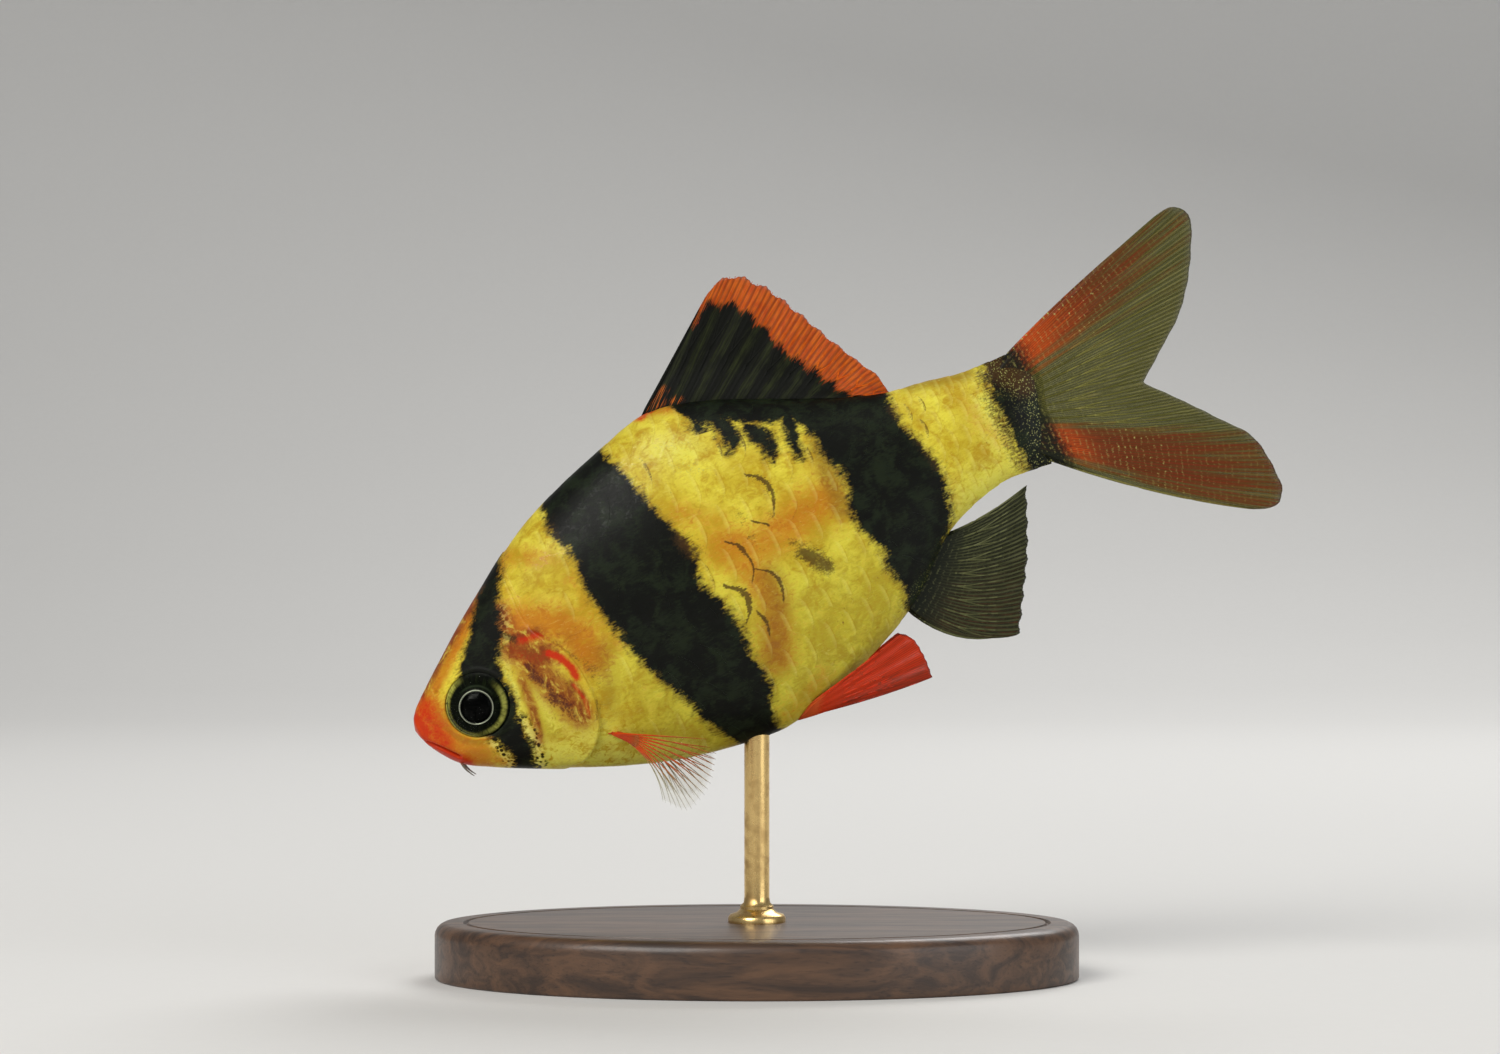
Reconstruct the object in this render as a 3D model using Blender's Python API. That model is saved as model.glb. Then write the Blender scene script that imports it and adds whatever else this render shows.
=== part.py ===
"""A life-size tiger barb, nose down and looking to its left side, on a plain display stand.

The fish is modelled in its own frame, in millimetres: x runs from the snout to the tail, y to its
right, and z to its back. The empty fish_pose then tips it nose down over the stand.
"""

import math

import bmesh
import bpy
import numpy as np
from mathutils import Vector

MM = 0.001
GAP = 0.3  # kept between pieces that meet

# Pose: the snout's tip over the floor, and how far the fish is tipped nose down.
SNOUT_X, SNOUT_Z = -31.21, 18.2
PITCH = math.radians(25.0)
BEND_START, BEND_END, BEND_SIDE = 32.0, 65.0, 1.8  # the tail sweeps a little to the fish's right

# Lines of the body, from the snout's tip to the root of the tail fin. Each row holds a station's
# distance from the snout, the back's and the belly's height, and half the width.
BODY_LINES = [
    (-0.12, -0.42, -0.68, 0.10),
    (0.05, 0.16, -1.25, 0.78),
    (0.45, 0.75, -2.05, 1.15),
    (1.10, 1.33, -3.12, 1.50),
    (2.00, 2.06, -4.12, 1.82),
    (3.60, 3.30, -5.12, 2.28),
    (6.00, 5.10, -6.38, 2.85),
    (8.30, 6.66, -7.50, 3.32),
    (10.60, 8.20, -8.50, 3.72),
    (12.80, 9.45, -9.38, 4.00),
    (16.70, 11.05, -10.60, 4.30),
    (20.30, 12.15, -11.28, 4.35),
    (24.20, 13.10, -11.58, 4.15),
    (28.30, 12.30, -10.60, 3.80),
    (32.50, 10.50, -9.18, 3.30),
    (36.50, 8.72, -7.10, 2.65),
    (40.50, 7.20, -3.85, 2.00),
    (43.40, 6.75, -2.68, 1.60),
    (46.00, 6.22, -2.22, 1.28),
    (48.00, 6.15, -2.50, 1.05),
    (49.30, 6.30, -2.85, 0.88),
]
STATION = [row[0] for row in BODY_LINES]
HEAD_FULLNESS, TRUNK_FULLNESS = 0.84, 1.0  # power of the section's width: under 1 is boxier
FULLNESS_START, FULLNESS_END = 5.0, 16.0
AROUND = 40  # sides of the body's sections
HEAD_BOW_START = 0.3  # share of the head's length where its rings start to bow to the gill's edge
TAIL_STEM_START = 40.7  # just behind the dorsal and anal fins

# The edge of the gill cover, and the ridge in front of it, by height: 0 is the back, 1 the belly.
GILL_HEIGHT = [0.0, 0.25, 0.42, 0.50, 0.60, 0.70, 0.78, 0.90, 1.0]
GILL_EDGE = [10.9, 10.4, 10.9, 12.2, 12.65, 12.2, 11.2, 9.2, 8.0]
CHEEK_EDGE = [9.6, 9.6, 9.2, 8.65, 8.4, 8.0, 7.65, 7.2, 7.0]
COVER_TOP, COVER_BOTTOM = 0.405, 0.88
COVER_THICK, COVER_LIFT, SEAT_CLEAR = 0.65, 0.32, 1.2
HALF_GIRTH = 26.0  # from back to belly over a gill cover

# Eyes, nostrils, mouth and barbels.
EYE = (4.85, -0.72)
EYE_RADIUS, EYE_BULGE = 2.35, 1.35
EYE_SIDE = 1.78
NOSTRIL = (2.55, 1.35)
NOSTRIL_SIZE = (0.3, 0.39, 0.3)
MOUTH_FRONT, MOUTH_CORNER = (0.09, -1.35), (2.1, -3.45)
MOUTH_SLIT, MOUTH_DEEP, MOUTH_OUT = 0.2, 0.32, 0.4
LIP_HEIGHT, LIP_REACH = 0.32, 0.5
BARBEL_ROOT, BARBEL_LENGTH, BARBEL_RADIUS = (1.95, -3.95), 1.5, 0.27
BARBEL_TIP_RADIUS, BARBEL_SPREAD, BARBEL_CURL = 0.1, 0.3, 0.28
BARBEL_LEAN = 0.1  # more than the gap, as its flat root leans against the sloping lip

# Fins. A root line runs along the body, and the tips' line from the first ray's tip to the last
# ray's, as (x, z) in the middle plane or as (x, y, z) for the paired fins. BOW is how far the
# rays curve half way along.
ROOT_THICK, TIP_THICK = 0.9, 0.36
PAIRED_ROOT_THICK = 0.7
RAY_RIDGE, RIDGE_AT_TIP, FIRST_RAY = 0.13, 0.25, 1.6
NOTCH = 0.025  # how far the edge draws in between two rays' tips, as a share of their length
DORSAL_ROOT = (24.1, 39.0)
DORSAL_TIPS = [(33.2, 19.5), (34.9, 18.9), (36.7, 16.5), (38.2, 13.2), (39.7, 10.3), (40.7, 8.15)]
DORSAL_BOW = (-0.35, 0.2, 0.3)
DORSAL_RAYS, DORSAL_ROWS = 11, 9
ANAL_ROOT = (35.5, 40.25)
ANAL_TIPS = [(42.1, -12.55), (43.5, -9.8), (44.9, -7.2), (46.5, -3.75)]
ANAL_BOW = (-0.45, 0.2, -0.75)
ANAL_RAYS, ANAL_ROWS = 8, 8
TAIL_ROOT_TOP, TAIL_ROOT_MIDDLE, TAIL_ROOT_BOTTOM = 6.05, 1.72, -2.6
TAIL_FORK = (57.5, -0.1)
LOBE_GAP = 0.4
UPPER_TIPS = [(64.4, 10.85), (65.75, 10.0), (65.5, 8.2), (63.7, 5.2), (60.9, 2.45)]
LOWER_TIPS = [(62.7, -12.15), (63.7, -11.1), (63.5, -8.7), (61.7, -5.0), (59.6, -2.2)]
UPPER_BOW, LOWER_BOW = (0.0, 0.35, -0.12), (0.0, 0.25, -0.5)
TAIL_RAYS, TAIL_ROWS = 10, 10
PELVIC_FRONT, PELVIC_REAR = (25.8, -11.25), (26.9, -10.5)
PELVIC_TIPS = [(34.9, 2.9, -12.55), (35.0, 2.7, -10.8), (34.7, 2.55, -9.35), (34.1, 2.5, -8.85)]
PELVIC_BOW = (0.0, 0.2, -0.15)
PELVIC_RAYS, PELVIC_ROWS, PELVIC_OFF = 8, 7, 0.45
PECTORAL_TOP, PECTORAL_LOW = (12.95, -6.1), (12.7, -7.15)
PECTORAL_TIPS = [
    (18.8, 6.3, -9.7),
    (18.5, 7.2, -11.6),
    (17.2, 7.6, -13.0),
    (15.5, 7.2, -13.7),
    (14.0, 6.1, -12.4),
]
PECTORAL_BOW = (0.35, 0.7, 0.75)
PECTORAL_RAYS, PECTORAL_ROWS, PECTORAL_OFF = 10, 7, 0.5

# Stand: an oval plate and one round rod up to the belly.
BASE_LONG, BASE_WIDE, BASE_THICK, BASE_ROUND = 46.0, 30.0, 4.0, 0.9
BASE_X = -6.71
ROD_RADIUS = 0.9

GOLD = (0.66, 0.47, 0.13)
BLACK = (0.015, 0.017, 0.012)
RED = (0.62, 0.05, 0.02)
CLEAR_FIN = (0.33, 0.24, 0.14)
WOOD = (0.10, 0.055, 0.03)
BRASS = (0.75, 0.55, 0.25)


def smooth(x, xs, ys):
    """A smooth curve through points, read at x."""
    xs, ys = np.asarray(xs, float), np.asarray(ys, float)
    steps = np.diff(xs)
    slopes = np.diff(ys) / steps
    inner = (slopes[:-1] * steps[1:] + slopes[1:] * steps[:-1]) / (steps[:-1] + steps[1:])
    tangents = np.concatenate([[slopes[0]], inner, [slopes[-1]]])
    x = np.clip(x, xs[0], xs[-1])
    i = np.clip(np.searchsorted(xs, x) - 1, 0, len(xs) - 2)
    step = steps[i]
    t = (x - xs[i]) / step
    return (
        ys[i] * (1 + 2 * t) * (1 - t) ** 2
        + tangents[i] * step * t * (1 - t) ** 2
        + ys[i + 1] * t * t * (3 - 2 * t)
        - tangents[i + 1] * step * t * t * (1 - t)
    )


def ease(x, low, high):
    """Runs from 0 at low to 1 at high."""
    t = min(max((x - low) / (high - low), 0.0), 1.0)
    return t * t * (3 - 2 * t)


def back(x):
    return float(smooth(x, STATION, [row[1] for row in BODY_LINES]))


def belly(x):
    return float(smooth(x, STATION, [row[2] for row in BODY_LINES]))


def half_width(x):
    return float(smooth(x, STATION, [row[3] for row in BODY_LINES]))


def bend(x):
    """How far the tail's sweep carries a point to the right."""
    return BEND_SIDE * (max(x - BEND_START, 0.0) / (BEND_END - BEND_START)) ** 2


def lips(x, z):
    """The raised lips on both sides of the mouth's line."""
    front, corner, here = Vector(MOUTH_FRONT), Vector(MOUTH_CORNER), Vector((x, z))
    along = corner - front
    share = min(max((here - front).dot(along) / along.length_squared, 0.0), 1.0)
    away = (here - front - share * along).length / LIP_REACH
    return LIP_HEIGHT * math.exp(-away * away)


def skin(x, height, lift=0.0, side=-1):
    """A point of the body's surface: height runs from 0 on the back to 1 on the belly."""
    angle = math.pi * min(max(height, 0.0), 1.0)
    fullness = HEAD_FULLNESS + (TRUNK_FULLNESS - HEAD_FULLNESS) * ease(x, FULLNESS_START, FULLNESS_END)
    top, bottom = back(x), belly(x)
    middle, half = (top + bottom) / 2, (top - bottom) / 2
    z = middle + half * math.cos(angle)
    y = half_width(x) * math.sin(angle) ** fullness
    lift += lips(x, z)
    out = Vector((0.0, math.sin(angle) * half, math.cos(angle) * half_width(x)))
    if out.length > 0:
        out.normalize()
    return Vector((x, side * (y + out.y * lift), z + out.z * lift))


def height_of(x, z):
    """The height, from 0 to 1, at which the body's surface passes through z."""
    top, bottom = back(x), belly(x)
    share = (z - (top + bottom) / 2) / ((top - bottom) / 2)
    return math.acos(min(max(share, -1.0), 1.0)) / math.pi


def on_skin(x, z, side, lift=0.0):
    return skin(x, height_of(x, z), lift, side)


def paint(name, colour, roughness, metallic=0.0):
    material = bpy.data.materials.new(name)
    material.use_nodes = True
    shader = material.node_tree.nodes["Principled BSDF"]
    shader.inputs["Base Color"].default_value = (*colour, 1.0)
    shader.inputs["Roughness"].default_value = roughness
    shader.inputs["Metallic"].default_value = metallic
    return material


def node(name, bm, material, parent=None, swept=True):
    """An object from a mesh in millimetres. A piece of the fish follows the tail's sweep."""
    for vertex in bm.verts:
        if swept:
            vertex.co.y += bend(vertex.co.x)
        vertex.co *= MM
    mesh = bpy.data.meshes.new(name)
    bm.to_mesh(mesh)
    bm.free()
    mesh.shade_smooth()
    mesh.set_sharp_from_angle(angle=math.radians(40))
    mesh.materials.append(material)
    obj = bpy.data.objects.new(name, mesh)
    bpy.context.scene.collection.objects.link(obj)
    obj.parent = parent
    return obj


def cutter(name, bm, parent):
    obj = node(name, bm, FLESH, parent)
    obj.hide_render = True
    obj.display_type = "WIRE"
    return obj


def cut(obj, *tools):
    for tool in tools:
        boolean = obj.modifiers.new("cut_" + tool.name, "BOOLEAN")
        boolean.operation = "DIFFERENCE"
        boolean.solver = "EXACT"
        boolean.object = tool


def loft(rings):
    """A closed body through rings of points. Each end is closed by strips from side to side."""
    bm = bmesh.new()
    loops = [[bm.verts.new(point) for point in ring] for ring in rings]
    for first, second in zip(loops, loops[1:]):
        for i, vertex in enumerate(first):
            j = (i + 1) % len(first)
            bm.faces.new((vertex, first[j], second[j], second[i]))
    for end in (loops[0], loops[-1]):
        count = len(end)
        for i in range(count // 2):
            strip = (end[i], end[i + 1], end[count - i - 1], end[(count - i) % count])
            bm.faces.new(dict.fromkeys(strip))
    bmesh.ops.recalc_face_normals(bm, faces=bm.faces)
    bmesh.ops.triangulate(bm, faces=bm.faces)
    return bm


def section(place):
    """One ring of the body. place gives the station for each height, so a ring may lean or bow."""
    ring = []
    for i in range(AROUND):
        turn = i / AROUND
        height, side = (2 * turn, -1) if turn <= 0.5 else (2 - 2 * turn, 1)
        ring.append(skin(place(height), height, 0.0, side))
    return ring


def gill_edge(height):
    return float(smooth(height, GILL_HEIGHT, GILL_EDGE))


def cheek_edge(height):
    return float(smooth(height, GILL_HEIGHT, CHEEK_EDGE))


def head():
    """From the snout to the gills, whose edge bows the rear rings."""
    shares = [0.0, 0.012, 0.03, 0.045, 0.06, 0.08, 0.10, 0.125, 0.15, 0.175, 0.2, 0.26, 0.32, 0.38]
    shares += [0.44, 0.50, 0.56, 0.62, 0.68, 0.74, 0.80, 0.86, 0.92, 0.965, 1.0]
    snout = STATION[0]

    def ring(share):
        straight = snout + share * (GILL_EDGE[0] - snout)
        bow = ease(share, HEAD_BOW_START, 1.0)
        return section(lambda height: straight + bow * (gill_edge(height) - GILL_EDGE[0]))

    return loft([ring(share) for share in shares])


def trunk():
    """From the gills to the end of the dorsal and anal fins."""
    stations = 27
    rear = TAIL_STEM_START - GAP / 2

    def ring(share):
        return section(lambda height: (1 - share) * (gill_edge(height) + GAP) + share * rear)

    return loft([ring(i / stations) for i in range(stations + 1)])


def tail_stem():
    front, rear, stations = TAIL_STEM_START + GAP / 2, STATION[-1], 8
    places = [front + (rear - front) * i / stations for i in range(stations + 1)]
    return loft([section(lambda height, x=x: x) for x in places])


def cover_patch(side, grow=0.0, inner=-COVER_THICK, outer=None):
    """The gill cover, a curved plate hinged at the cheek. Grown, it cuts its own seat in the head."""
    columns, rows = 6, 12
    bm = bmesh.new()
    grown_height = grow / HALF_GIRTH
    sheets = []
    for face in (inner, outer):
        sheet = []
        for r in range(rows + 1):
            height = COVER_TOP - grown_height
            height += (COVER_BOTTOM - COVER_TOP + 2 * grown_height) * r / rows
            front, rear = cheek_edge(height) - grow, gill_edge(height) + 2 * grow
            line = []
            for c in range(columns + 1):
                share = c / columns
                lift = COVER_LIFT * share if face is None else face
                line.append(bm.verts.new(skin(front + (rear - front) * share, height, lift, side)))
            sheet.append(line)
        sheets.append(sheet)
    close_sheets(bm, *sheets)
    return bm


def close_sheets(bm, under, over):
    """Joins two grids of vertices face by face into one closed plate, split alike on both sides."""
    rows, columns = len(under), len(under[0])
    for sheet in (under, over):
        for r in range(rows - 1):
            for c in range(columns - 1):
                a, b = sheet[r][c], sheet[r][c + 1]
                d, e = sheet[r + 1][c], sheet[r + 1][c + 1]
                bm.faces.new((a, b, e))
                bm.faces.new((a, e, d))
    rim = [(0, c) for c in range(columns)]
    rim += [(r, columns - 1) for r in range(1, rows)]
    rim += [(rows - 1, c) for c in range(columns - 2, -1, -1)]
    rim += [(r, 0) for r in range(rows - 2, 0, -1)]
    for (r, c), (s, d) in zip(rim, rim[1:] + rim[:1]):
        bm.faces.new((under[r][c], under[s][d], over[s][d]))
        bm.faces.new((under[r][c], over[s][d], over[r][c]))
    bmesh.ops.recalc_face_normals(bm, faces=bm.faces)


def ball(x, y, z, radii, segments=18, rings=12):
    bm = bmesh.new()
    bmesh.ops.create_uvsphere(bm, u_segments=segments, v_segments=rings, radius=1.0)
    for vertex in bm.verts:
        poles_out = Vector((vertex.co.x, vertex.co.z, vertex.co.y))
        vertex.co = Vector((x, y, z)) + Vector(p * r for p, r in zip(poles_out, radii))
    bmesh.ops.reverse_faces(bm, faces=bm.faces)
    return bm


def eye(side, grow=0.0):
    radii = (EYE_RADIUS + grow, EYE_BULGE + grow, EYE_RADIUS + grow)
    return ball(EYE[0], side * EYE_SIDE, EYE[1], radii)


def nostril(side):
    return ball(*on_skin(*NOSTRIL, side), NOSTRIL_SIZE, 10, 6)


def tube(path, radii, sides):
    """A round tube along points that hang one below the other, with its own radius at each."""
    rings = []
    for i, point in enumerate(path):
        ahead = (path[min(i + 1, len(path) - 1)] - path[max(i - 1, 0)]).normalized()
        across = ahead.cross(Vector((1.0, 0.0, 0.0))).normalized()
        up = across.cross(ahead)
        angles = [math.tau * k / sides for k in range(sides)]
        rings.append([point + radii[i] * (math.cos(a) * across + math.sin(a) * up) for a in angles])
    return loft(rings)


def mouth_line():
    """The slit of the closed mouth, a flat horseshoe from one corner round the front to the other."""
    steps = 8
    left = []
    for i in range(steps):
        share = (1 - i / steps) ** 2
        x = MOUTH_FRONT[0] + share * (MOUTH_CORNER[0] - MOUTH_FRONT[0])
        z = MOUTH_FRONT[1] + share * (MOUTH_CORNER[1] - MOUTH_FRONT[1])
        left.append(on_skin(x, z, -1))
    right = [Vector((p.x, -p.y, p.z)) for p in reversed(left)]
    path = left + [Vector((MOUTH_FRONT[0], 0.0, MOUTH_FRONT[1]))] + right
    upward = Vector((MOUTH_FRONT[1] - MOUTH_CORNER[1], 0.0, MOUTH_CORNER[0] - MOUTH_FRONT[0]))
    upward.normalize()
    rings = []
    for i, point in enumerate(path):
        ahead = path[min(i + 1, len(path) - 1)] - path[max(i - 1, 0)]
        outward = upward.cross(ahead).normalized()
        corners = [(MOUTH_OUT, 1), (MOUTH_OUT, -1), (-MOUTH_DEEP, -1), (-MOUTH_DEEP, 1)]
        rings.append([point + reach * outward + turn * MOUTH_SLIT / 2 * upward for reach, turn in corners])
    return loft(rings)


def barbel(side):
    """A short feeler that hangs from the corner of the mouth and curls back at its tip."""
    root = on_skin(*BARBEL_ROOT, side, GAP + BARBEL_LEAN)
    steps = 6
    path, radii = [], []
    for i in range(steps + 1):
        share = i / steps
        hang = Vector((BARBEL_CURL * share * share, side * BARBEL_SPREAD * share, -share))
        path.append(root + BARBEL_LENGTH * hang)
        radii.append(BARBEL_RADIUS + (BARBEL_TIP_RADIUS - BARBEL_RADIUS) * share)
    return tube(path, radii, 6)


def along(points, share):
    """A point on a smooth line through points, by its share of the line's length."""
    points = [Vector(p) for p in points]
    lengths = [0.0]
    for a, b in zip(points, points[1:]):
        lengths.append(lengths[-1] + (b - a).length)
    reach = share * lengths[-1]
    if len(points) == 2:
        return points[0].lerp(points[1], share)
    return Vector(float(smooth(reach, lengths, [p[k] for p in points])) for k in range(3))


def fin(roots, tips, rays, rows, bow, root_thick=ROOT_THICK):
    """A fan of rays in one membrane. roots and tips are lines that the rays run between.

    The rays stand up from the membrane as ridges on both faces, and the membrane draws in a
    little between their tips.
    """
    columns = 2 * rays - 1
    bow = Vector(bow)
    middle = []
    for r in range(rows + 1):
        down = r / rows
        line = []
        for c in range(columns):
            share = c / (columns - 1)
            drawn = 0.0 if c % 2 == 0 else NOTCH * down**3
            straight = roots(share).lerp(tips(share), down - drawn)
            line.append(straight + 4 * down * (1 - down) * (1 - 0.6 * share) * bow)
        middle.append(line)
    bm = bmesh.new()
    sheets = ([], [])
    for r, line in enumerate(middle):
        down = r / rows
        thick = root_thick + (TIP_THICK - root_thick) * down
        for turn, sheet in zip((1, -1), sheets):
            row = []
            for c, point in enumerate(line):
                outward = middle[min(r + 1, rows)][c] - middle[max(r - 1, 0)][c]
                across = line[min(c + 1, columns - 1)] - line[max(c - 1, 0)]
                normal = outward.cross(across).normalized()
                stands = RAY_RIDGE * (1 - (1 - RIDGE_AT_TIP) * down)
                stands *= (FIRST_RAY if c == 0 else 1.0) * (c % 2 == 0)
                row.append(bm.verts.new(point + turn * (thick / 2 + stands) * normal))
            sheet.append(row)
    close_sheets(bm, *sheets)
    return bm


def off_line(line, x, lift, side):
    """A point off the back (side 1) or the belly (side -1), by its distance from the skin."""
    reach = 0.2
    slope = (line(x + reach) - line(x - reach)) / (2 * reach)
    out = Vector((-side * slope, 0.0, side)).normalized()
    return Vector((x, 0.0, line(x))) + lift * out


def flat(points):
    """A line of (x, z) points, laid in the fish's middle plane."""
    return [(x, 0.0, z) for x, z in points]


def on_side(points, side):
    return [(x, side * y, z) for x, y, z in points]


def between(ends, share):
    return ends[0] + (ends[1] - ends[0]) * share


def dorsal_fin():
    return fin(
        lambda share: off_line(back, between(DORSAL_ROOT, share), GAP, 1),
        lambda share: along(flat(DORSAL_TIPS), share),
        DORSAL_RAYS,
        DORSAL_ROWS,
        DORSAL_BOW,
    )


def anal_fin():
    return fin(
        lambda share: off_line(belly, between(ANAL_ROOT, share), GAP, -1),
        lambda share: along(flat(ANAL_TIPS), share),
        ANAL_RAYS,
        ANAL_ROWS,
        ANAL_BOW,
    )


def tail_lobe(outer_root, side, tips, bow):
    """One lobe of the forked tail fin, from its outer edge to the fork."""
    x = STATION[-1] + GAP
    clear = side * LOBE_GAP / 2
    roots = flat([(x, outer_root), (x, TAIL_ROOT_MIDDLE + clear)])
    edge = flat(tips + [(TAIL_FORK[0], TAIL_FORK[1] + clear)])
    return fin(
        lambda share: along(roots, share),
        lambda share: along(edge, share),
        TAIL_RAYS,
        TAIL_ROWS,
        bow,
    )


def paired_root(front, rear, off, side):
    """The line on the flank where one of a pair of fins grows."""
    def place(share):
        x, z = between((front[0], rear[0]), share), between((front[1], rear[1]), share)
        return on_skin(x, z, side, off)

    return place


def pelvic_fin(side):
    """One of the pair under the belly, folded back beside it."""
    return fin(
        paired_root(PELVIC_FRONT, PELVIC_REAR, PELVIC_OFF, side),
        lambda share: along(on_side(PELVIC_TIPS, side), share),
        PELVIC_RAYS,
        PELVIC_ROWS,
        (PELVIC_BOW[0], side * PELVIC_BOW[1], PELVIC_BOW[2]),
        PAIRED_ROOT_THICK,
    )


def pectoral_fin(side):
    """One of the pair behind the gills, held out and down from the flank."""
    return fin(
        paired_root(PECTORAL_TOP, PECTORAL_LOW, PECTORAL_OFF, side),
        lambda share: along(on_side(PECTORAL_TIPS, side), share),
        PECTORAL_RAYS,
        PECTORAL_ROWS,
        (PECTORAL_BOW[0], side * PECTORAL_BOW[1], PECTORAL_BOW[2]),
        PAIRED_ROOT_THICK,
    )


def floor_place(x, y, z):
    """Where a point of the fish's own frame stands over the floor, with the fish tipped."""
    y += bend(x)
    turned_x = x * math.cos(PITCH) - z * math.sin(PITCH)
    turned_z = x * math.sin(PITCH) + z * math.cos(PITCH)
    return SNOUT_X + turned_x, y, SNOUT_Z + turned_z


def belly_over(floor_x, y):
    """The belly's height over the floor at a place of the stand, by halving the body's station."""
    low, high = 5.0, 30.0
    for _ in range(40):
        x = (low + high) / 2
        share = min(abs(y) / half_width(x), 1.0)
        z = (back(x) + belly(x)) / 2 - (back(x) - belly(x)) / 2 * math.sqrt(1 - share * share)
        place = floor_place(x, y, z)
        low, high = (x, high) if place[0] < floor_x else (low, x)
    return place[2]


def stand_base():
    bm = bmesh.new()
    bmesh.ops.create_cone(bm, cap_ends=True, segments=56, radius1=0.5, radius2=0.5, depth=BASE_THICK)
    bmesh.ops.scale(bm, vec=(BASE_LONG, BASE_WIDE, 1.0), verts=bm.verts)
    bmesh.ops.translate(bm, vec=(BASE_X, 0.0, BASE_THICK / 2), verts=bm.verts)
    top = [e for e in bm.edges if all(v.co.z > BASE_THICK / 2 for v in e.verts)]
    bmesh.ops.bevel(
        bm, geom=top, offset=BASE_ROUND, segments=3, profile=0.5, affect="EDGES", material=-1
    )
    return bm


def stand_rod():
    """Its top follows the belly, and its foot stands on the plate."""
    sides = 16
    foot, top = [], []
    for k in range(sides):
        angle = math.tau * k / sides
        x, y = BASE_X + ROD_RADIUS * math.cos(angle), ROD_RADIUS * math.sin(angle)
        foot.append(Vector((x, y, BASE_THICK + GAP)))
        top.append(Vector((x, y, belly_over(x, y) - GAP)))
    return loft([foot, top])


def build():
    pose = bpy.data.objects.new("fish_pose", None)
    bpy.context.scene.collection.objects.link(pose)
    pose.location = (SNOUT_X * MM, 0.0, SNOUT_Z * MM)
    pose.rotation_euler = (0.0, -PITCH, 0.0)

    head_node = node("head", head(), FLESH, pose)
    node("trunk", trunk(), FLESH, pose)
    node("tail_stem", tail_stem(), FLESH, pose)
    cut(head_node, cutter("mouth_cut", mouth_line(), pose))
    for word, side in (("left", -1), ("right", 1)):
        seat = cover_patch(side, grow=GAP, inner=-COVER_THICK - GAP, outer=COVER_LIFT + SEAT_CLEAR)
        cut(head_node, cutter(f"cover_seat_{word}", seat, pose))
        cut(head_node, cutter(f"eye_socket_{word}", eye(side, GAP), pose))
        cut(head_node, cutter(f"nostril_cut_{word}", nostril(side), pose))
        node(f"gill_cover_{word}", cover_patch(side), FLESH, pose)
        node(f"eye_{word}", eye(side), EYE_DARK, pose)
        node(f"barbel_{word}", barbel(side), CLEAR, pose)
        node(f"pectoral_fin_{word}", pectoral_fin(side), CLEAR, pose)
        node(f"pelvic_fin_{word}", pelvic_fin(side), RED_FIN, pose)
    node("dorsal_fin", dorsal_fin(), DARK_FIN, pose)
    node("anal_fin", anal_fin(), CLEAR, pose)
    node("tail_fin_upper", tail_lobe(TAIL_ROOT_TOP, 1, UPPER_TIPS, UPPER_BOW), CLEAR, pose)
    node("tail_fin_lower", tail_lobe(TAIL_ROOT_BOTTOM, -1, LOWER_TIPS, LOWER_BOW), CLEAR, pose)
    node("stand_base", stand_base(), PLATE, swept=False)
    node("stand_rod", stand_rod(), ROD, swept=False)


for old in list(bpy.data.objects):
    bpy.data.objects.remove(old)
FLESH = paint("flesh", GOLD, 0.45)
EYE_DARK = paint("eye", BLACK, 0.15)
DARK_FIN = paint("dark_fin", BLACK, 0.5)
RED_FIN = paint("red_fin", RED, 0.5)
CLEAR = paint("clear_fin", CLEAR_FIN, 0.4)
PLATE = paint("stand_wood", WOOD, 0.4)
ROD = paint("stand_brass", BRASS, 0.3, 1.0)
build()
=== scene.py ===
"""The looks of a life-size tiger barb on its display stand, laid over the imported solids."""

import math

import bmesh
import bpy
import numpy as np
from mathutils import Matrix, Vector


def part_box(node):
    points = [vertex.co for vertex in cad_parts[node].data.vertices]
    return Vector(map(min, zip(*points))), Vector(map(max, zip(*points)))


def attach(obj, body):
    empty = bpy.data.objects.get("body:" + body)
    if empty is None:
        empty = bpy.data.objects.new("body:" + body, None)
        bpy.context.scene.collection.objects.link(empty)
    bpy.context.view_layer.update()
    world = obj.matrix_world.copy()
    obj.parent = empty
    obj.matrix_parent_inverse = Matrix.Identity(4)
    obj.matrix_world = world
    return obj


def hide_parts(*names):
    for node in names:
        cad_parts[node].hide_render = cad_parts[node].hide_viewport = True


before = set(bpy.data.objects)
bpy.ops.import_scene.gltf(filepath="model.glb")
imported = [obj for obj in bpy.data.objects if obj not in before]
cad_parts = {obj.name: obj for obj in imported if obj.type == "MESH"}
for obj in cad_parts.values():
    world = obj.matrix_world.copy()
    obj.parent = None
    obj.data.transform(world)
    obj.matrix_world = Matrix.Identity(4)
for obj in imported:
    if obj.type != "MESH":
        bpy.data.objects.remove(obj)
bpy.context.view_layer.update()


# The plate: an oval of walnut, turned with a round upper edge and one fine groove round the top.
# It is stained dark and brushed with satin lacquer, and the whole model stands on it.
MM = 0.001
PLATE_LONG, PLATE_WIDE, PLATE_THICK, PLATE_X = 45.98, 29.98, 4.0, -6.71
PLATE_ROUND, PLATE_FOOT, PLATE_SIDES = 0.9, 0.2, 160
GROOVE_IN, GROOVE_WALL, GROOVE_FLOOR, GROOVE_DEEP = 1.1, 0.12, 0.16, 0.2
WALNUT_DARK, WALNUT_PALE = (0.030, 0.014, 0.007), (0.13, 0.062, 0.028)
GRAIN_SCALE, PORE_SCALE = (90.0, 700.0, 700.0), (500.0, 7000.0, 7000.0)


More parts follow.
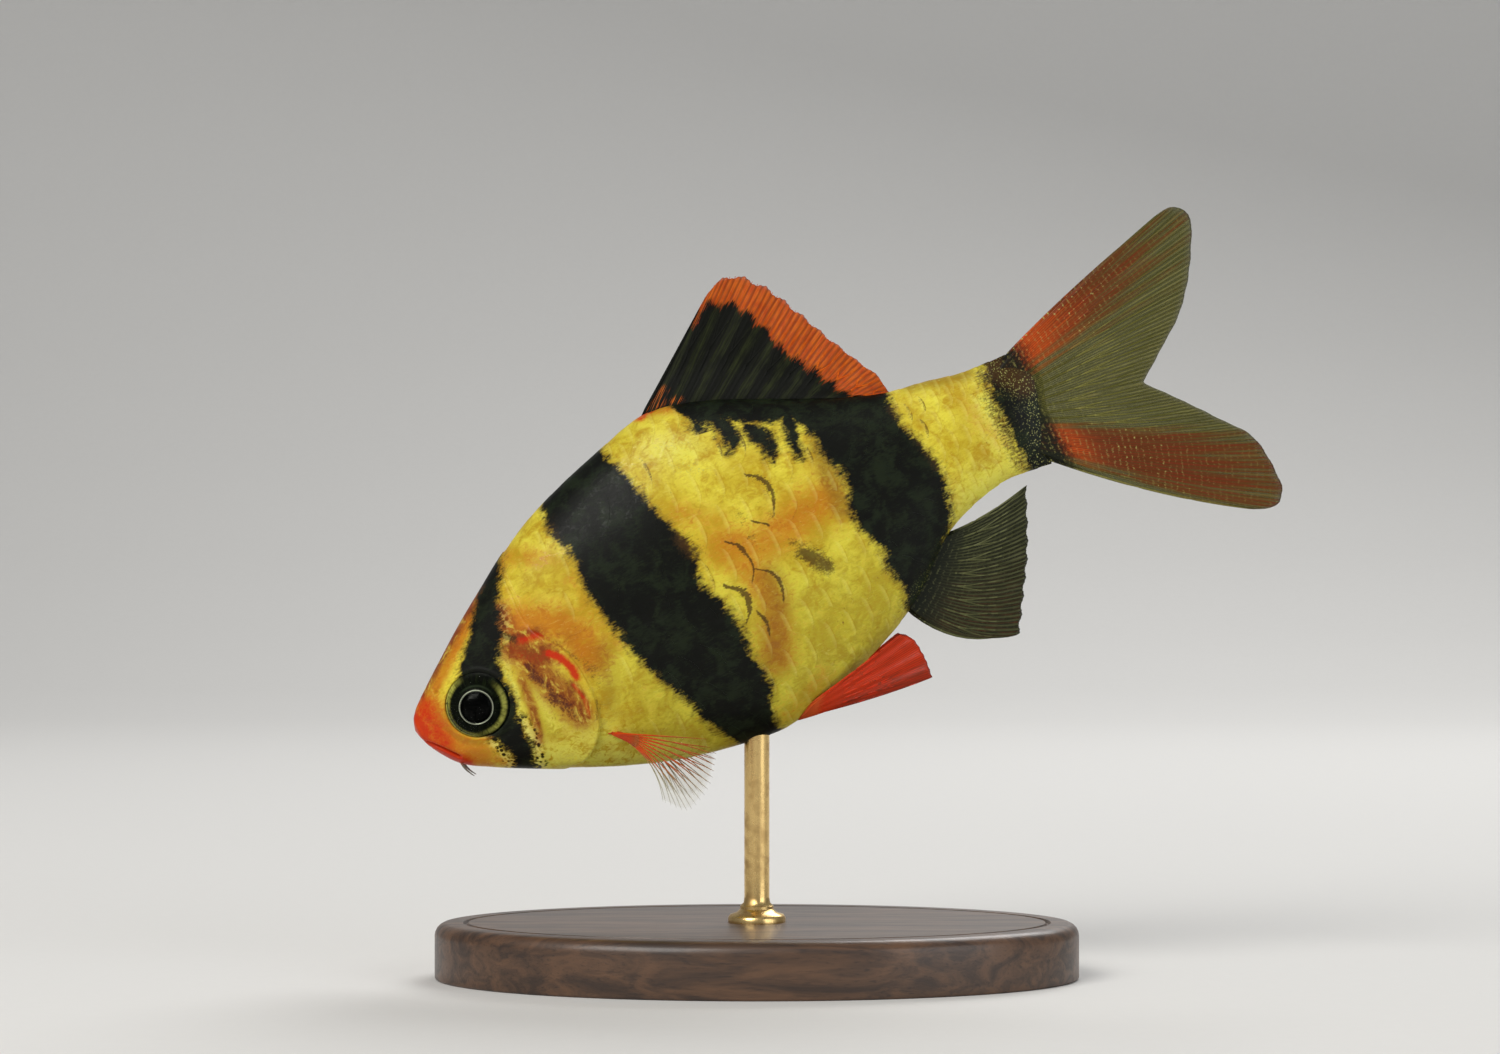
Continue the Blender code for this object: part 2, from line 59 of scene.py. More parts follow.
class Tint:
    """One output of a finish's nodes. Sums on it add the nodes that work them out."""

    def __init__(self, tree, socket=None):
        self.tree, self.socket = tree, socket

    def node(self, kind, settings=None, inputs=None, output=0):
        """Adds a node: its settings first, then the values and outputs that feed its sockets.

        A colour is given by its red, green and blue.
        """
        made = self.tree.nodes.new("ShaderNode" + kind)
        for name, value in (settings or {}).items():
            if name == "line":
                curve = made.mapping.curves[0]
                curve.points[0].location, curve.points[1].location = value[0], value[-1]
                for place in value[1:-1]:
                    curve.points.new(*place)
                made.mapping.update()
            else:
                setattr(made, name, value)
        for name, value in (inputs or {}).items():
            socket = made.inputs[name]
            if isinstance(value, Tint):
                self.tree.links.new(value.socket, socket)
            else:
                socket.default_value = (*value, 1.0) if socket.type == "RGBA" else value
        return Tint(self.tree, made.outputs[output])

    def math(self, operation, *values):
        return self.node("Math", {"operation": operation}, dict(enumerate(values)))

    def __add__(self, other):
        return self.math("ADD", self, other)

    __radd__ = __add__

    def __sub__(self, other):
        return self.math("SUBTRACT", self, other)

    def __rsub__(self, other):
        return self.math("SUBTRACT", other, self)

    def __mul__(self, other):
        return self.math("MULTIPLY", self, other)

    __rmul__ = __mul__

    def __truediv__(self, other):
        return self.math("DIVIDE", self, other)

    def least(self, other):
        return self.math("MINIMUM", self, other)

    def most(self, other):
        return self.math("MAXIMUM", self, other)

    def rise(self, low, high):
        """Runs smoothly from 0 at low to 1 at high."""
        ends = {0: self, 1: low, 2: high, 3: 0.0, 4: 1.0}
        return self.node("MapRange", {"interpolation_type": "SMOOTHSTEP"}, ends)

    def mark(self, name):
        """The value that a piece's mesh carries under this name."""
        return self.node("Attribute", {"attribute_name": name}, output=2)

    def place(self, **turn):
        """Where a point is, in metres, or turned, moved and scaled by a Mapping node."""
        here = self.node("TexCoord", output=3)
        if not turn:
            return here
        return self.node("Mapping", {}, {"Vector": here, **{k.title(): v for k, v in turn.items()}})

    def noise(self, where, scale, detail=2.0, rough=0.5, swirl=0.0):
        inputs = {"Vector": where, "Scale": scale, "Detail": detail}
        inputs.update({"Roughness": rough, "Distortion": swirl})
        return self.node("TexNoise", {}, inputs)

    def bump(self, height, distance, strength=1.0):
        inputs = {"Strength": strength, "Distance": distance, "Height": height}
        return self.node("Bump", {}, inputs)

    def paint(self, ground, *coats):
        """A ground colour under coats of paint, each a colour and how far it covers, from 0 to 1."""
        for colour, cover in coats:
            ground = self.node("Mix", {"data_type": "RGBA"}, {0: cover, 6: ground, 7: colour}, 2)
        return ground


def new_finish(name, values):
    """A finish with the plain values of its shader, and the hand that adds its nodes."""
    finish = bpy.data.materials.new(name)
    finish.use_nodes = True
    shader = finish.node_tree.nodes["Principled BSDF"]
    for socket, value in values.items():
        shader.inputs[socket].default_value = value
    return finish, Tint(finish.node_tree)


def lay_on(finish, feeds):
    """Feeds a finish's shader with what changes over the piece."""
    shader = finish.node_tree.nodes["Principled BSDF"]
    for socket, tint in feeds.items():
        finish.node_tree.links.new(tint.socket, shader.inputs[socket])


def new_mesh(name, bm, unit=1.0):
    """The mesh of a finished shape, carried over from its own unit to metres."""
    bmesh.ops.scale(bm, vec=(unit, unit, unit), verts=bm.verts)
    mesh = bpy.data.meshes.new(name)
    bm.to_mesh(mesh)
    bm.free()
    return mesh


def new_object(name, data):
    thing = bpy.data.objects.new(name, data)
    bpy.context.scene.collection.objects.link(thing)
    return thing


def set_out(name, mesh, finish, slot, *nodes, crease=180.0):
    """Puts a finished mesh on the model, where it stands for its solids."""
    mesh.materials.append(finish)
    mesh.shade_smooth()
    mesh.set_sharp_from_angle(angle=math.radians(crease))
    piece = new_object(name, mesh)
    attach(piece, "root")
    if nodes:
        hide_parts(*nodes)


bm = bmesh.new()
bmesh.ops.create_cone(
    bm, cap_ends=True, segments=PLATE_SIDES, radius1=0.5, radius2=0.5, depth=PLATE_THICK
)
bmesh.ops.scale(bm, vec=(PLATE_LONG, PLATE_WIDE, 1.0), verts=bm.verts)
bmesh.ops.translate(bm, vec=(PLATE_X, 0.0, PLATE_THICK / 2), verts=bm.verts)
for level, size in ((PLATE_THICK, PLATE_ROUND), (0.0, PLATE_FOOT)):
    rim = [e for e in bm.edges if all(abs(v.co.z - level) < 0.01 for v in e.verts)]
    bmesh.ops.bevel(
        bm, geom=rim, offset=size, segments=5, profile=0.5, affect="EDGES", material=-1
    )
top = max(bm.faces, key=lambda face: face.normal.z * face.calc_area())
for thickness, depth in (
    (GROOVE_IN, 0.0),
    (GROOVE_WALL, -GROOVE_DEEP),
    (GROOVE_FLOOR, 0.0),
    (GROOVE_WALL, GROOVE_DEEP),
):
    bmesh.ops.inset_region(bm, faces=[top], thickness=thickness, depth=depth, use_even_offset=True)

walnut, hand = new_finish("walnut", {"Coat Weight": 0.35, "Coat Roughness": 0.22})
grain = hand.noise(hand.place(scale=GRAIN_SCALE), 1.0, 5.0, 0.6, 1.2)
pores = hand.noise(hand.place(scale=PORE_SCALE), 1.0, 2.0)
shade = grain.rise(0.3, 0.72) * 0.85 + pores.rise(0.55, 0.75) * -0.35
lay_on(
    walnut,
    {
        "Base Color": hand.paint(WALNUT_DARK, (WALNUT_PALE, shade)),
        "Roughness": 0.52 - grain * 0.15 + pores * 0.1,
        "Normal": hand.bump(pores * 0.6 + grain, 0.00004, 0.5),
    },
)
plate = new_mesh("walnut_plate", bm, MM)
set_out("walnut_plate", plate, walnut, "stand_wood", "stand_base", crease=35.0)


# The rod: one length of drawn brass with a turned collar at its foot, let into the plate and into
# the belly. It is polished and lightly tarnished, and it carries the fish alone.
ROD_RADIUS, ROD_SUNK, ROD_SIDES = 0.9, 1.0, 48
ROD_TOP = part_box("stand_rod")[1].z / MM + ROD_SUNK
ROD_PROFILE = [  # radius and height, up over the collar
    (0.0, 3.2), (1.9, 3.2), (2.05, 4.0), (2.05, 4.35), (1.9, 4.55), (1.45, 4.7), (1.2, 4.95),
    (1.2, 5.15), (ROD_RADIUS + 0.05, 5.4), (ROD_RADIUS, 5.8), (ROD_RADIUS, 8.0), (ROD_RADIUS, 10.0),
    (ROD_RADIUS, ROD_TOP), (0.0, ROD_TOP),
]
BRASS_BRIGHT, BRASS_DULL = (0.80, 0.56, 0.23), (0.45, 0.27, 0.10)


def turned(profile, steps):
    """A closed piece turned on a lathe from its profile, as (radius, height) stations."""
    bm = bmesh.new()
    line = [bm.verts.new((radius, 0.0, height)) for radius, height in profile]
    edges = [bm.edges.new(pair) for pair in zip(line, line[1:])]
    bmesh.ops.spin(
        bm, geom=line + edges, axis=(0, 0, 1), angle=math.tau, steps=steps, use_merge=True
    )
    bmesh.ops.remove_doubles(bm, verts=bm.verts, dist=1e-5)
    bmesh.ops.recalc_face_normals(bm, faces=bm.faces)
    return bm


bm = turned(ROD_PROFILE, ROD_SIDES)
bmesh.ops.translate(bm, vec=(PLATE_X, 0.0, 0.0), verts=bm.verts)
brass, hand = new_finish("brass", {"Metallic": 1.0})
tarnish = hand.noise(hand.place(), 900.0, 4.0, 0.6).rise(0.45, 0.75)
drawn = hand.noise(hand.place(scale=(9000.0, 9000.0, 300.0)), 1.0, 2.0)
lay_on(
    brass,
    {
        "Base Color": hand.paint(BRASS_BRIGHT, (BRASS_DULL, tarnish * 0.6)),
        "Roughness": 0.2 + tarnish * 0.18 + drawn * 0.1,
        "Normal": hand.bump(drawn, 0.00002, 0.4),
    },
)
set_out("brass_rod", new_mesh("brass_rod", bm, MM), brass, "stand_brass", "stand_rod", crease=40.0)


# The skin: one closed skin from the lips to the root of the tail fin, in cast resin, with the lips,
# nostrils, eye sockets and gill covers modelled in it. It is painted in thin layers: gold, orange
# and red, four black bands with hairy edges, and a wet clear coat.
# Some of the paint stands for light: painted glints, and a painted lift of the shaded underside.
SNOUT, PITCH = np.array([-31.21, 0.0, 18.2]), math.radians(25.0)
PITCH_COS, PITCH_SIN = math.cos(PITCH), math.sin(PITCH)
BEND_START, BEND_END, BEND_SIDE = 32.0, 65.0, 1.8
BODY_LINES = np.array([  # station, back, belly, half width
    (-0.12, -0.42, -0.68, 0.10), (0.05, 0.10, -1.25, 0.78), (0.45, 0.72, -2.05, 1.15),
    (1.10, 1.33, -3.12, 1.50), (2.00, 2.06, -4.12, 1.82), (3.60, 3.30, -5.12, 2.28),
    (6.00, 5.10, -6.38, 2.85), (8.30, 6.66, -7.50, 3.32), (10.60, 8.20, -8.50, 3.72),
    (12.80, 9.45, -9.38, 4.00), (16.70, 11.05, -10.60, 4.30), (20.30, 12.15, -11.28, 4.35),
    (24.20, 13.10, -11.58, 4.15), (28.30, 12.30, -10.60, 3.80), (32.50, 10.50, -9.18, 3.30),
    (36.50, 8.72, -7.10, 2.65), (40.50, 7.20, -3.85, 2.00), (43.40, 6.75, -2.68, 1.60),
    (46.00, 6.22, -2.22, 1.28), (48.00, 6.10, -2.40, 1.05), (49.30, 6.02, -2.50, 0.88),
]).T
HEAD_FULLNESS, TRUNK_FULLNESS, FULLNESS_START, FULLNESS_END = 0.84, 1.0, 5.0, 16.0
GILL_HEIGHT = [0.0, 0.25, 0.42, 0.50, 0.60, 0.70, 0.78, 0.90, 1.0]
GILL_EDGE = [10.9, 10.4, 10.9, 12.2, 12.65, 12.2, 11.2, 9.2, 8.0]
CHEEK_EDGE = [9.6, 9.6, 9.2, 8.65, 8.4, 8.0, 7.65, 7.2, 7.0]
COVER_LIFT, UNDER_SCALES, EDGE_SUNK, STEP_LONG, BOW_FROM = 0.30, -0.12, -0.06, 0.004, 3.2
COVER_TOP, COVER_FOOT = (0.36, 0.45), (0.84, 0.93)
REAR_HEIGHT = [0.0, 0.07, 0.338, 0.49, 0.64, 0.833, 1.0]
REAR_EDGE = [49.35, 49.5, 51.2, 50.7, 50.1, 49.35, 49.1]
THIN_FROM, THIN_TO = 47.6, 49.5
EYE, EYE_RADIUS, SOCKET_FLOOR, SOCKET_DEEP = (4.85, -0.72), 2.36, 2.05, 0.9
MOUTH, MOUTH_FADE = [(-0.05, -1.25), (0.6, -1.75), (1.35, -2.55), (2.1, -3.45)], (-0.1, 0.6)
CHEEK_LINE = [(1.0, -0.3), (1.9, -1.3), (2.8, -3.1)]
NOSTRIL, NOSTRIL_FLAP = (2.55, 1.35), (2.87, 1.57)
LIPS, MOUTH_CUT, CHEEK_FOLD = (0.2, 0.0, 0.5), (-0.34, 0.0, 0.085), (-0.05, 0.0, 0.14)
NOSTRIL_RIM, NOSTRIL_HOLE, FLAP_HOLE = (0.07, 0.3, 0.09), (-0.3, 0.0, 0.17), (-0.22, 0.0, 0.13)
SOCKET_RIM, SOCKET_FOLD = (0.07, 0.12, 0.13), (-0.05, 0.55, 0.2)
COVER_RIDGE, COVER_GROOVE = (0.09, -0.15, 0.3), (-0.08, 0.45, 0.25)
SNOUT_TIP = (-0.14, 0.0, -0.55)
HEAD_STOPS = np.concatenate([np.linspace(-0.12, 2.4, 43)[:-1], np.linspace(2.4, 10.9, 63)])
BODY_STOPS = np.concatenate([[0.0006, 0.0025], np.linspace(0.007, 1.0, 178)])
SKIN_COLUMNS, ROUND_HALF = len(HEAD_STOPS) + len(BODY_STOPS) - 1, 112


def smooth(x, xs, ys):
    """A smooth curve through points, read at x."""
    xs, ys = np.asarray(xs, float), np.asarray(ys, float)
    steps = np.diff(xs)
    slopes = np.diff(ys) / steps
    inner = (slopes[:-1] * steps[1:] + slopes[1:] * steps[:-1]) / (steps[:-1] + steps[1:])
    tangents = np.concatenate([[slopes[0]], inner, [slopes[-1]]])
    x = np.clip(x, xs[0], xs[-1])
    i = np.clip(np.searchsorted(xs, x) - 1, 0, len(xs) - 2)
    step = steps[i]
    t = (x - xs[i]) / step
    start = ys[i] * (1 + 2 * t) * (1 - t) ** 2 + tangents[i] * step * t * (1 - t) ** 2
    return start + ys[i + 1] * t * t * (3 - 2 * t) - tangents[i + 1] * step * t * t * (1 - t)


def ease(x, low, high):
    """Runs smoothly from 0 at low to 1 at high."""
    t = np.clip((np.asarray(x, float) - low) / (high - low), 0.0, 1.0)
    return t * t * (3 - 2 * t)


def back(x):
    return smooth(x, BODY_LINES[0], BODY_LINES[1])


def belly(x):
    return smooth(x, BODY_LINES[0], BODY_LINES[2])


def half_width(x):
    return smooth(x, BODY_LINES[0], BODY_LINES[3])


def on_body(x, height, side, lift):
    """Points of the body, in millimetres. Height runs from 0 on the back to 1 on the belly."""
    angle = np.pi * np.clip(height, 0.0, 1.0)
    rear = smooth(height, REAR_HEIGHT, REAR_EDGE)
    fullness = HEAD_FULLNESS + (TRUNK_FULLNESS - HEAD_FULLNESS) * ease(x, FULLNESS_START, FULLNESS_END)
    top, bottom = back(x), belly(x)
    half = (top - bottom) / 2
    wide = half_width(x) * (1 - np.clip((x - THIN_FROM) / (rear - THIN_FROM), 0, 1) ** 2)
    flank = np.clip(np.sin(angle), 0.0, 1.0)
    out = np.stack([flank * half, np.cos(angle) * half_width(x)], -1)
    out = out / np.linalg.norm(out, axis=-1, keepdims=True) * np.asarray(lift)[..., None]
    y = side * (wide * flank**fullness + out[..., 0])
    return np.stack([x + 0 * y, y, (top + bottom) / 2 + half * np.cos(angle) + out[..., 1]], -1)


def height_at(x, z):
    """The height, from 0 to 1, at which the body's side passes through z."""
    share = (z - (back(x) + belly(x)) / 2) / ((back(x) - belly(x)) / 2)
    return np.arccos(np.clip(share, -1.0, 1.0)) / np.pi


def in_pose(points):
    """Carries points from the fish's own frame, in millimetres, to their place in metres."""
    x, y, z = np.moveaxis(np.asarray(points, float), -1, 0)
    y = y + BEND_SIDE * (np.maximum(x - BEND_START, 0.0) / (BEND_END - BEND_START)) ** 2
    turned_x, turned_z = x * PITCH_COS - z * PITCH_SIN, x * PITCH_SIN + z * PITCH_COS
    return (np.stack([turned_x, y, turned_z], -1) + SNOUT) * MM


def from_line(x, z, line):
    """The distance of points from a line of (x, z) stations."""
    here = np.stack([x, z], -1)
    nearest = np.full(here.shape[:-1], 1e9)
    for start, end in zip(np.array(line), np.array(line)[1:]):
        span = end - start
        share = np.clip((here - start) @ span / (span @ span), 0.0, 1.0)
        away = np.linalg.norm(here - start - share[..., None] * span, axis=-1)
        nearest = np.minimum(nearest, away)
    return nearest


def from_spot(x, z, spot):
    return np.hypot(x - spot[0], z - spot[1])


def hump(distance, width):
    return np.exp(-((distance / width) ** 2))


def ridge(distance, form):
    """A rounded ridge or groove, by its height, how far off its crest lies, and its width."""
    height, crest, width = form
    return height * hump(distance - crest, width)


def head_form(x, z, height, cover):
    """How far the forms of the head stand out of the plain body. cover is 1 inside the gill's edge."""
    mouth = from_line(x, z, MOUTH)
    form = (ridge(mouth, LIPS) + ridge(mouth, MOUTH_CUT)) * ease(x, *MOUTH_FADE)
    form += ridge(from_line(x, z, CHEEK_LINE), CHEEK_FOLD)
    nostril = from_spot(x, z, NOSTRIL)
    form += ridge(nostril, NOSTRIL_RIM) + ridge(nostril, NOSTRIL_HOLE)
    form += ridge(from_spot(x, z, NOSTRIL_FLAP), FLAP_HOLE)
    eye = from_spot(x, z, EYE)
    form += ridge(eye - EYE_RADIUS, SOCKET_RIM) + ridge(eye - EYE_RADIUS, SOCKET_FOLD) * (z < 0)
    form -= SOCKET_DEEP * (1 - ease(eye, SOCKET_FLOOR, EYE_RADIUS))
    cheek = smooth(height, GILL_HEIGHT, CHEEK_EDGE)
    gill = smooth(height, GILL_HEIGHT, GILL_EDGE)
    plate = ease(height, *COVER_TOP) * (1 - ease(height, *COVER_FOOT)) * cover
    share = np.clip((x - cheek) / (gill - cheek), 0.0, 1.0)
    return form + plate * (
        COVER_LIFT * share + ridge(x - cheek, COVER_RIDGE) + ridge(x - cheek, COVER_GROOVE)
    )


def strokes(x, z, rows):
    """How far soft strokes of paint cover points. Each has a radius, a strength and a line."""
    covers = [strength * hump(from_line(x, z, line), radius) for radius, strength, line in rows]
    return np.max(covers, axis=0)


PAINT_STROKES = {  # each stroke's radius, strength and line of (station, up)
    "red": [
        (0.85, 1.0, [(-0.03, -1.0), (0.64, -2.4), (1.6, -3.7), (2.1, -4.2)]),
        (0.9, 0.95, [(0.1, 0.4), (0.5, -0.9)]),
        (1.1, 0.7, [(1.2, 0.6), (1.4, -2.2)]),
        (0.32, 1.0, [(11.07, 0.46), (11.71, -0.22), (12.08, -1.07), (12.11, -1.85)]),
        (0.2, 0.6, [(11.73, -2.25), (11.99, -3.54), (11.82, -4.61)]),
        (0.4, 0.6, [(9.6, 2.1), (11.0, 1.9)]),
        (0.8, 0.32, [(8.9, 1.6), (9.5, 0.6), (10.4, 0.4)]),
        (0.45, 0.9, [(23.9, 13.0), (25.0, 13.3)]),
    ],
    "orange": [
        (0.55, 0.95, [(7.9, 6.08), (6.23, 4.55), (4.39, 3.09), (2.5, 1.6)]),
        (1.5, 1.0, [(1.5, 1.1), (1.7, -0.6), (2.0, -2.6), (3.4, -4.1)]),
        (0.6, 0.7, [(3.7, -4.1), (5.2, -5.5)]),
        (0.13, 0.9, [(2.6, -1.97), (3.55, -2.95), (4.85, -3.28), (6.15, -2.95), (7.05, -1.97)]),
        (1.7, 1.0, [(9.0, 3.6), (11.15, 2.8), (12.55, 1.99)]),
        (1.6, 1.0, [(12.8, 2.1), (13.3, 0.76), (13.6, -0.9)]),
        (0.8, 0.6, [(8.9, 6.6), (11.2, 8.0), (13.8, 6.5)]),
        (0.9, 0.5, [(14.8, 4.5), (15.0, 2.0), (15.8, -1.0)]),
        (2.0, 0.85, [(25.6, 2.0), (27.5, 1.0), (33.2, 2.2)]),
        (1.3, 0.55, [(23.6, 5.5), (26.0, 3.6)]),
        (1.2, 0.5, [(33.6, 4.4), (34.0, 0.5)]),
        (1.5, 0.85, [(26.4, 0.2), (26.9, -2.4), (26.4, -4.6), (25.6, -6.6)]),
        (0.8, 0.45, [(45.1, 4.4), (46.4, 0.6)]),
        (0.9, 0.5, [(24.2, -10.9), (28.0, -9.2)]),
        (0.7, 0.8, [(24.6, 13.2), (27.2, 12.3)]),
    ],
    # Pale paint: partly the fish's own pale belly and patches, partly painted light on the shaded underside.
    "pale": [
        # painted light along the belly: lightens its shade and paints a highlight at its edge
        (1.2, 1.2, [(7.3, -5.97), (9.59, -6.84), (12.75, -8.6), (17.2, -11.0)]),
        (1.3, 0.85, [(10.5, -5.6), (13.0, -7.5)]),
        (0.6, 0.9, [(7.9, -5.9), (10.4, -6.3)]),
        (0.5, 0.8, [(9.9, -4.5), (10.3, -6.0)]),
        (0.45, 1.3, [(7.75, 2.13), (8.19, 1.32), (7.95, 0.8)]),
        (0.2, 1.2, [(7.72, 0.9), (7.84, -0.73), (7.4, -2.81), (7.2, -5.04)]),
        (0.35, 0.8, [(9.2, -1.46), (9.25, -3.02), (9.13, -4.51)]),
        (0.25, 0.7, [(9.6, -4.34), (9.79, -5.59), (9.95, -6.05)]),
        # painted light along the stem's belly: a painted highlight at its edge
        (1.4, 0.6, [(41.5, -2.6), (44.5, -1.6), (48.0, -1.8)]),
        (1.1, 1.3, [(46.5, 3.2), (46.6, 0.8)]),
        (0.7, 0.8, [(7.4, -4.6), (8.0, -5.4)]),
        # painted light under the chin, lightening its shade
        (0.7, 0.6, [(3.0, -3.5), (3.9, -4.6), (5.2, -5.7)]),
        (1.0, 0.5, [(24.0, 10.6), (26.2, 9.2)]),
    ],
    "dusk": [
        (0.13, 0.5, [(11.96, 0.72), (13.19, -1.59), (13.16, -3.31), (12.12, -5.13)]),
        (0.55, 1.1, [(30.4, -0.7), (31.0, -1.5), (31.3, -2.3)]),
        (0.6, 0.6, [(47.3, 5.6), (46.9, 2.4), (47.0, -1.6)]),
        (0.3, 0.9, [(8.4, 3.2), (9.2, 2.4)]),
        (0.4, 0.9, [(22.7, 3.9), (23.1, 3.2), (23.4, 2.6)]),
        (0.14, 0.55, [(29.9, 5.5), (29.6, 1.5), (30.2, -1.5)]),
        (0.14, 0.45, [(27.6, 5.0), (27.3, 1.5)]),
    ],
    "rust": [
        (0.5, 1.0, [(1.16, 1.6), (3.76, 3.45), (6.67, 5.60), (9.4, 7.5)]),
        (0.4, 0.75, [(8.55, -0.39), (8.35, -2.58), (8.0, -4.2), (7.7, -4.91)]),
        (0.8, 0.7, [(9.19, 4.71), (9.16, 2.99)]),
        (0.42, 1.0, [(9.2, 2.29), (10.19, 2.35), (11.02, 2.02)]),
        (1.3, 0.95, [(9.1, 1.9), (9.6, 0.9), (10.6, 0.5)]),
        (1.2, 0.85, [(9.6, 0.2), (10.2, -1.4), (10.8, -3.1), (11.2, -4.3)]),
        (0.35, 0.85, [(11.73, -2.25), (11.99, -3.54), (11.82, -4.61), (11.5, -4.95)]),
    ],
    "plum": [
        (0.5, 0.9, [(9.31, 0.22), (9.41, -0.60), (9.83, -1.37)]),
        (0.62, 0.8, [(10.0, -1.83), (10.3, -3.08), (10.9, -4.31)]),
        (0.07, 1.0, [(9.75, -1.3), (10.0, -2.6), (10.5, -3.6)]),
    ],
    "tawny": [
        (1.4, 0.8, [(27.4, -1.4), (27.0, -3.4), (26.2, -4.8), (25.4, -6.6)]),
        (1.2, 0.6, [(14.6, -1.0), (14.0, -3.2), (13.2, -5.0)]),
        (0.9, 1.0, [(34.4, 5.6), (34.3, 3.0), (34.2, 0.8)]),
        (0.8, 1.0, [(42.3, 7.0), (44.0, 6.6), (46.3, 6.0)]),
        (1.0, 0.5, [(12.9, 0.6), (12.4, -0.6)]),
    ],
    "browned": [
        (1.3, 0.9, [(48.2, 5.6), (49.8, 3.6)]),
        (0.7, 0.9, [(22.9, 3.9), (23.5, 2.4)]),
        (0.6, 0.7, [(40.5, 6.0), (41.3, 3.0), (41.7, 0.8)]),
        (0.5, 0.5, [(15.0, 6.6), (15.2, 9.0)]),
        (0.5, 0.5, [(34.6, 2.8), (34.4, 0.6)]),
    ],
    "spots": [
        (0.8, 1.0, [(5.0, -3.9), (5.3, -6.2)]),
        (0.8, 1.0, [(7.3, -3.4), (7.0, -6.4)]),
        (0.8, 0.42, [(9.2, 4.4), (9.1, 3.0)]),
    ],
    # Painted highlights: bright specks that stand for glints of light.
    "glitter": [
        (1.2, 1.0, [(48.4, 5.4), (50.2, 2.6), (49.4, -0.2), (48.8, -1.9)]),
        (0.5, 0.8, [(40.4, -4.2), (38.9, -5.6), (36.5, -6.9)]),
        (0.5, 0.6, [(24.6, 10.4), (26.2, 9.6)]),
        (0.4, 0.8, [(24.9, 8.6), (26.4, 7.6)]),
    ],
}
CHEEK_OLIVE = [(1.2, 0.75, [(8.6, -1.5), (8.9, -4.6)]), (0.9, 0.4, [(8.9, -4.9), (11.0, -5.2)])]
BELLY_OLIVE, BELLY_OLIVE_UP, BELLY_OLIVE_ALONG = 0.75, (-3.0, 6.0), (12.0, 18.0)


def paint_marks(x, z):
    """The strength of each paint on points of the flanks."""
    marks = {paint: strokes(x, z, rows) for paint, rows in PAINT_STROKES.items()}
    low_flank = ease(-z, *BELLY_OLIVE_UP) * ease(x, *BELLY_OLIVE_ALONG)
    marks["olive"] = np.maximum(strokes(x, z, CHEEK_OLIVE), BELLY_OLIVE * low_flank)
    return marks


def points_of(mesh):
    """The places of a mesh's points, as rows of x, y and z."""
    flat = np.empty(len(mesh.vertices) * 3, np.float32)
    mesh.vertices.foreach_get("co", flat)
    return flat.reshape(-1, 3)


def put_points(mesh, places, marks):
    """Gives a mesh's points their places, and the values that its paint reads."""
    mesh.vertices.foreach_set("co", in_pose(places).astype(np.float32).ravel())
    for mark, values in marks.items():
        carried = mesh.attributes.new(mark, "FLOAT", "POINT")
        carried.data.foreach_set("value", np.asarray(values, np.float32).ravel())


def close_up(mesh):
    """Merges the points of a mesh that meet, and turns all its faces the same way."""
    bm = bmesh.new()
    bm.from_mesh(mesh)
    bmesh.ops.remove_doubles(bm, verts=bm.verts, dist=1e-7)
    bmesh.ops.recalc_face_normals(bm, faces=bm.faces)
    bm.to_mesh(mesh)
    bm.free()


def wrapped(name, columns, rows, form):
    """A closed piece from one flat sheet, whose edges meet. form gives its places and its marks."""
    bm = bmesh.new()
    bm.loops.layers.uv.new("OFBake")
    bmesh.ops.create_grid(bm, x_segments=columns, y_segments=rows, size=0.5, calc_uvs=True)
    mesh = new_mesh(name, bm)
    u, v, _ = (points_of(mesh) + 0.5).T.astype(float)
    put_points(mesh, *form(u, v))
    close_up(mesh)
    return mesh


def skin_form(u, v):
    """The skin's places and marks: u runs from the snout to the tail, v round the body."""
    column = np.rint(u * SKIN_COLUMNS).astype(int)
    height, side = np.where(v <= 0.5, 2 * v, 2 - 2 * v), np.where(v <= 0.5, -1.0, 1.0)
    gill = smooth(height, GILL_HEIGHT, GILL_EDGE)
    rear = smooth(height, REAR_HEIGHT, REAR_EDGE)
    ahead = column < len(HEAD_STOPS)
    straight = HEAD_STOPS[np.minimum(column, len(HEAD_STOPS) - 1)]
    bow = ease(straight, BOW_FROM, GILL_EDGE[0])
    body = BODY_STOPS[np.clip(column - len(HEAD_STOPS), 0, len(BODY_STOPS) - 1)]
    x = np.where(ahead, straight + bow * (gill - GILL_EDGE[0]), gill + (rear - gill) * body)
    under = UNDER_SCALES * (1 - ease(x, THIN_FROM, THIN_TO)) * ease(body, 0.0, STEP_LONG)
    z = on_body(x, height, side, 0 * x)[:, 2]
    form = head_form(x, z, height, np.where(ahead, 1.0, 0.0))
    edge = np.where(column == len(HEAD_STOPS) - 1, EDGE_SUNK, 0.0)
    places = on_body(x, height, side, form + np.where(ahead, edge, under))
    places[column == 0] = SNOUT_TIP
    return places, paint_marks(x, z)


skin = wrapped("skin", SKIN_COLUMNS, 2 * ROUND_HALF, skin_form)

GOLD_DEEP, GOLD_PALE = (0.54, 0.375, 0.018), (0.78, 0.66, 0.060)
AMBER, PALE_FIBRE = (0.44, 0.20, 0.010), (0.84, 0.76, 0.20)
OLIVE_GOLD, PALE_BELLY = (0.45, 0.40, 0.030), (0.74, 0.68, 0.10)
ORANGE, RED = (0.52, 0.15, 0.007), (0.55, 0.020, 0.004)
BROWN, RUST = (0.060, 0.028, 0.008), (0.17, 0.020, 0.006)
TERRACOTTA, TAWNY = (0.33, 0.085, 0.012), (0.20, 0.085, 0.008)
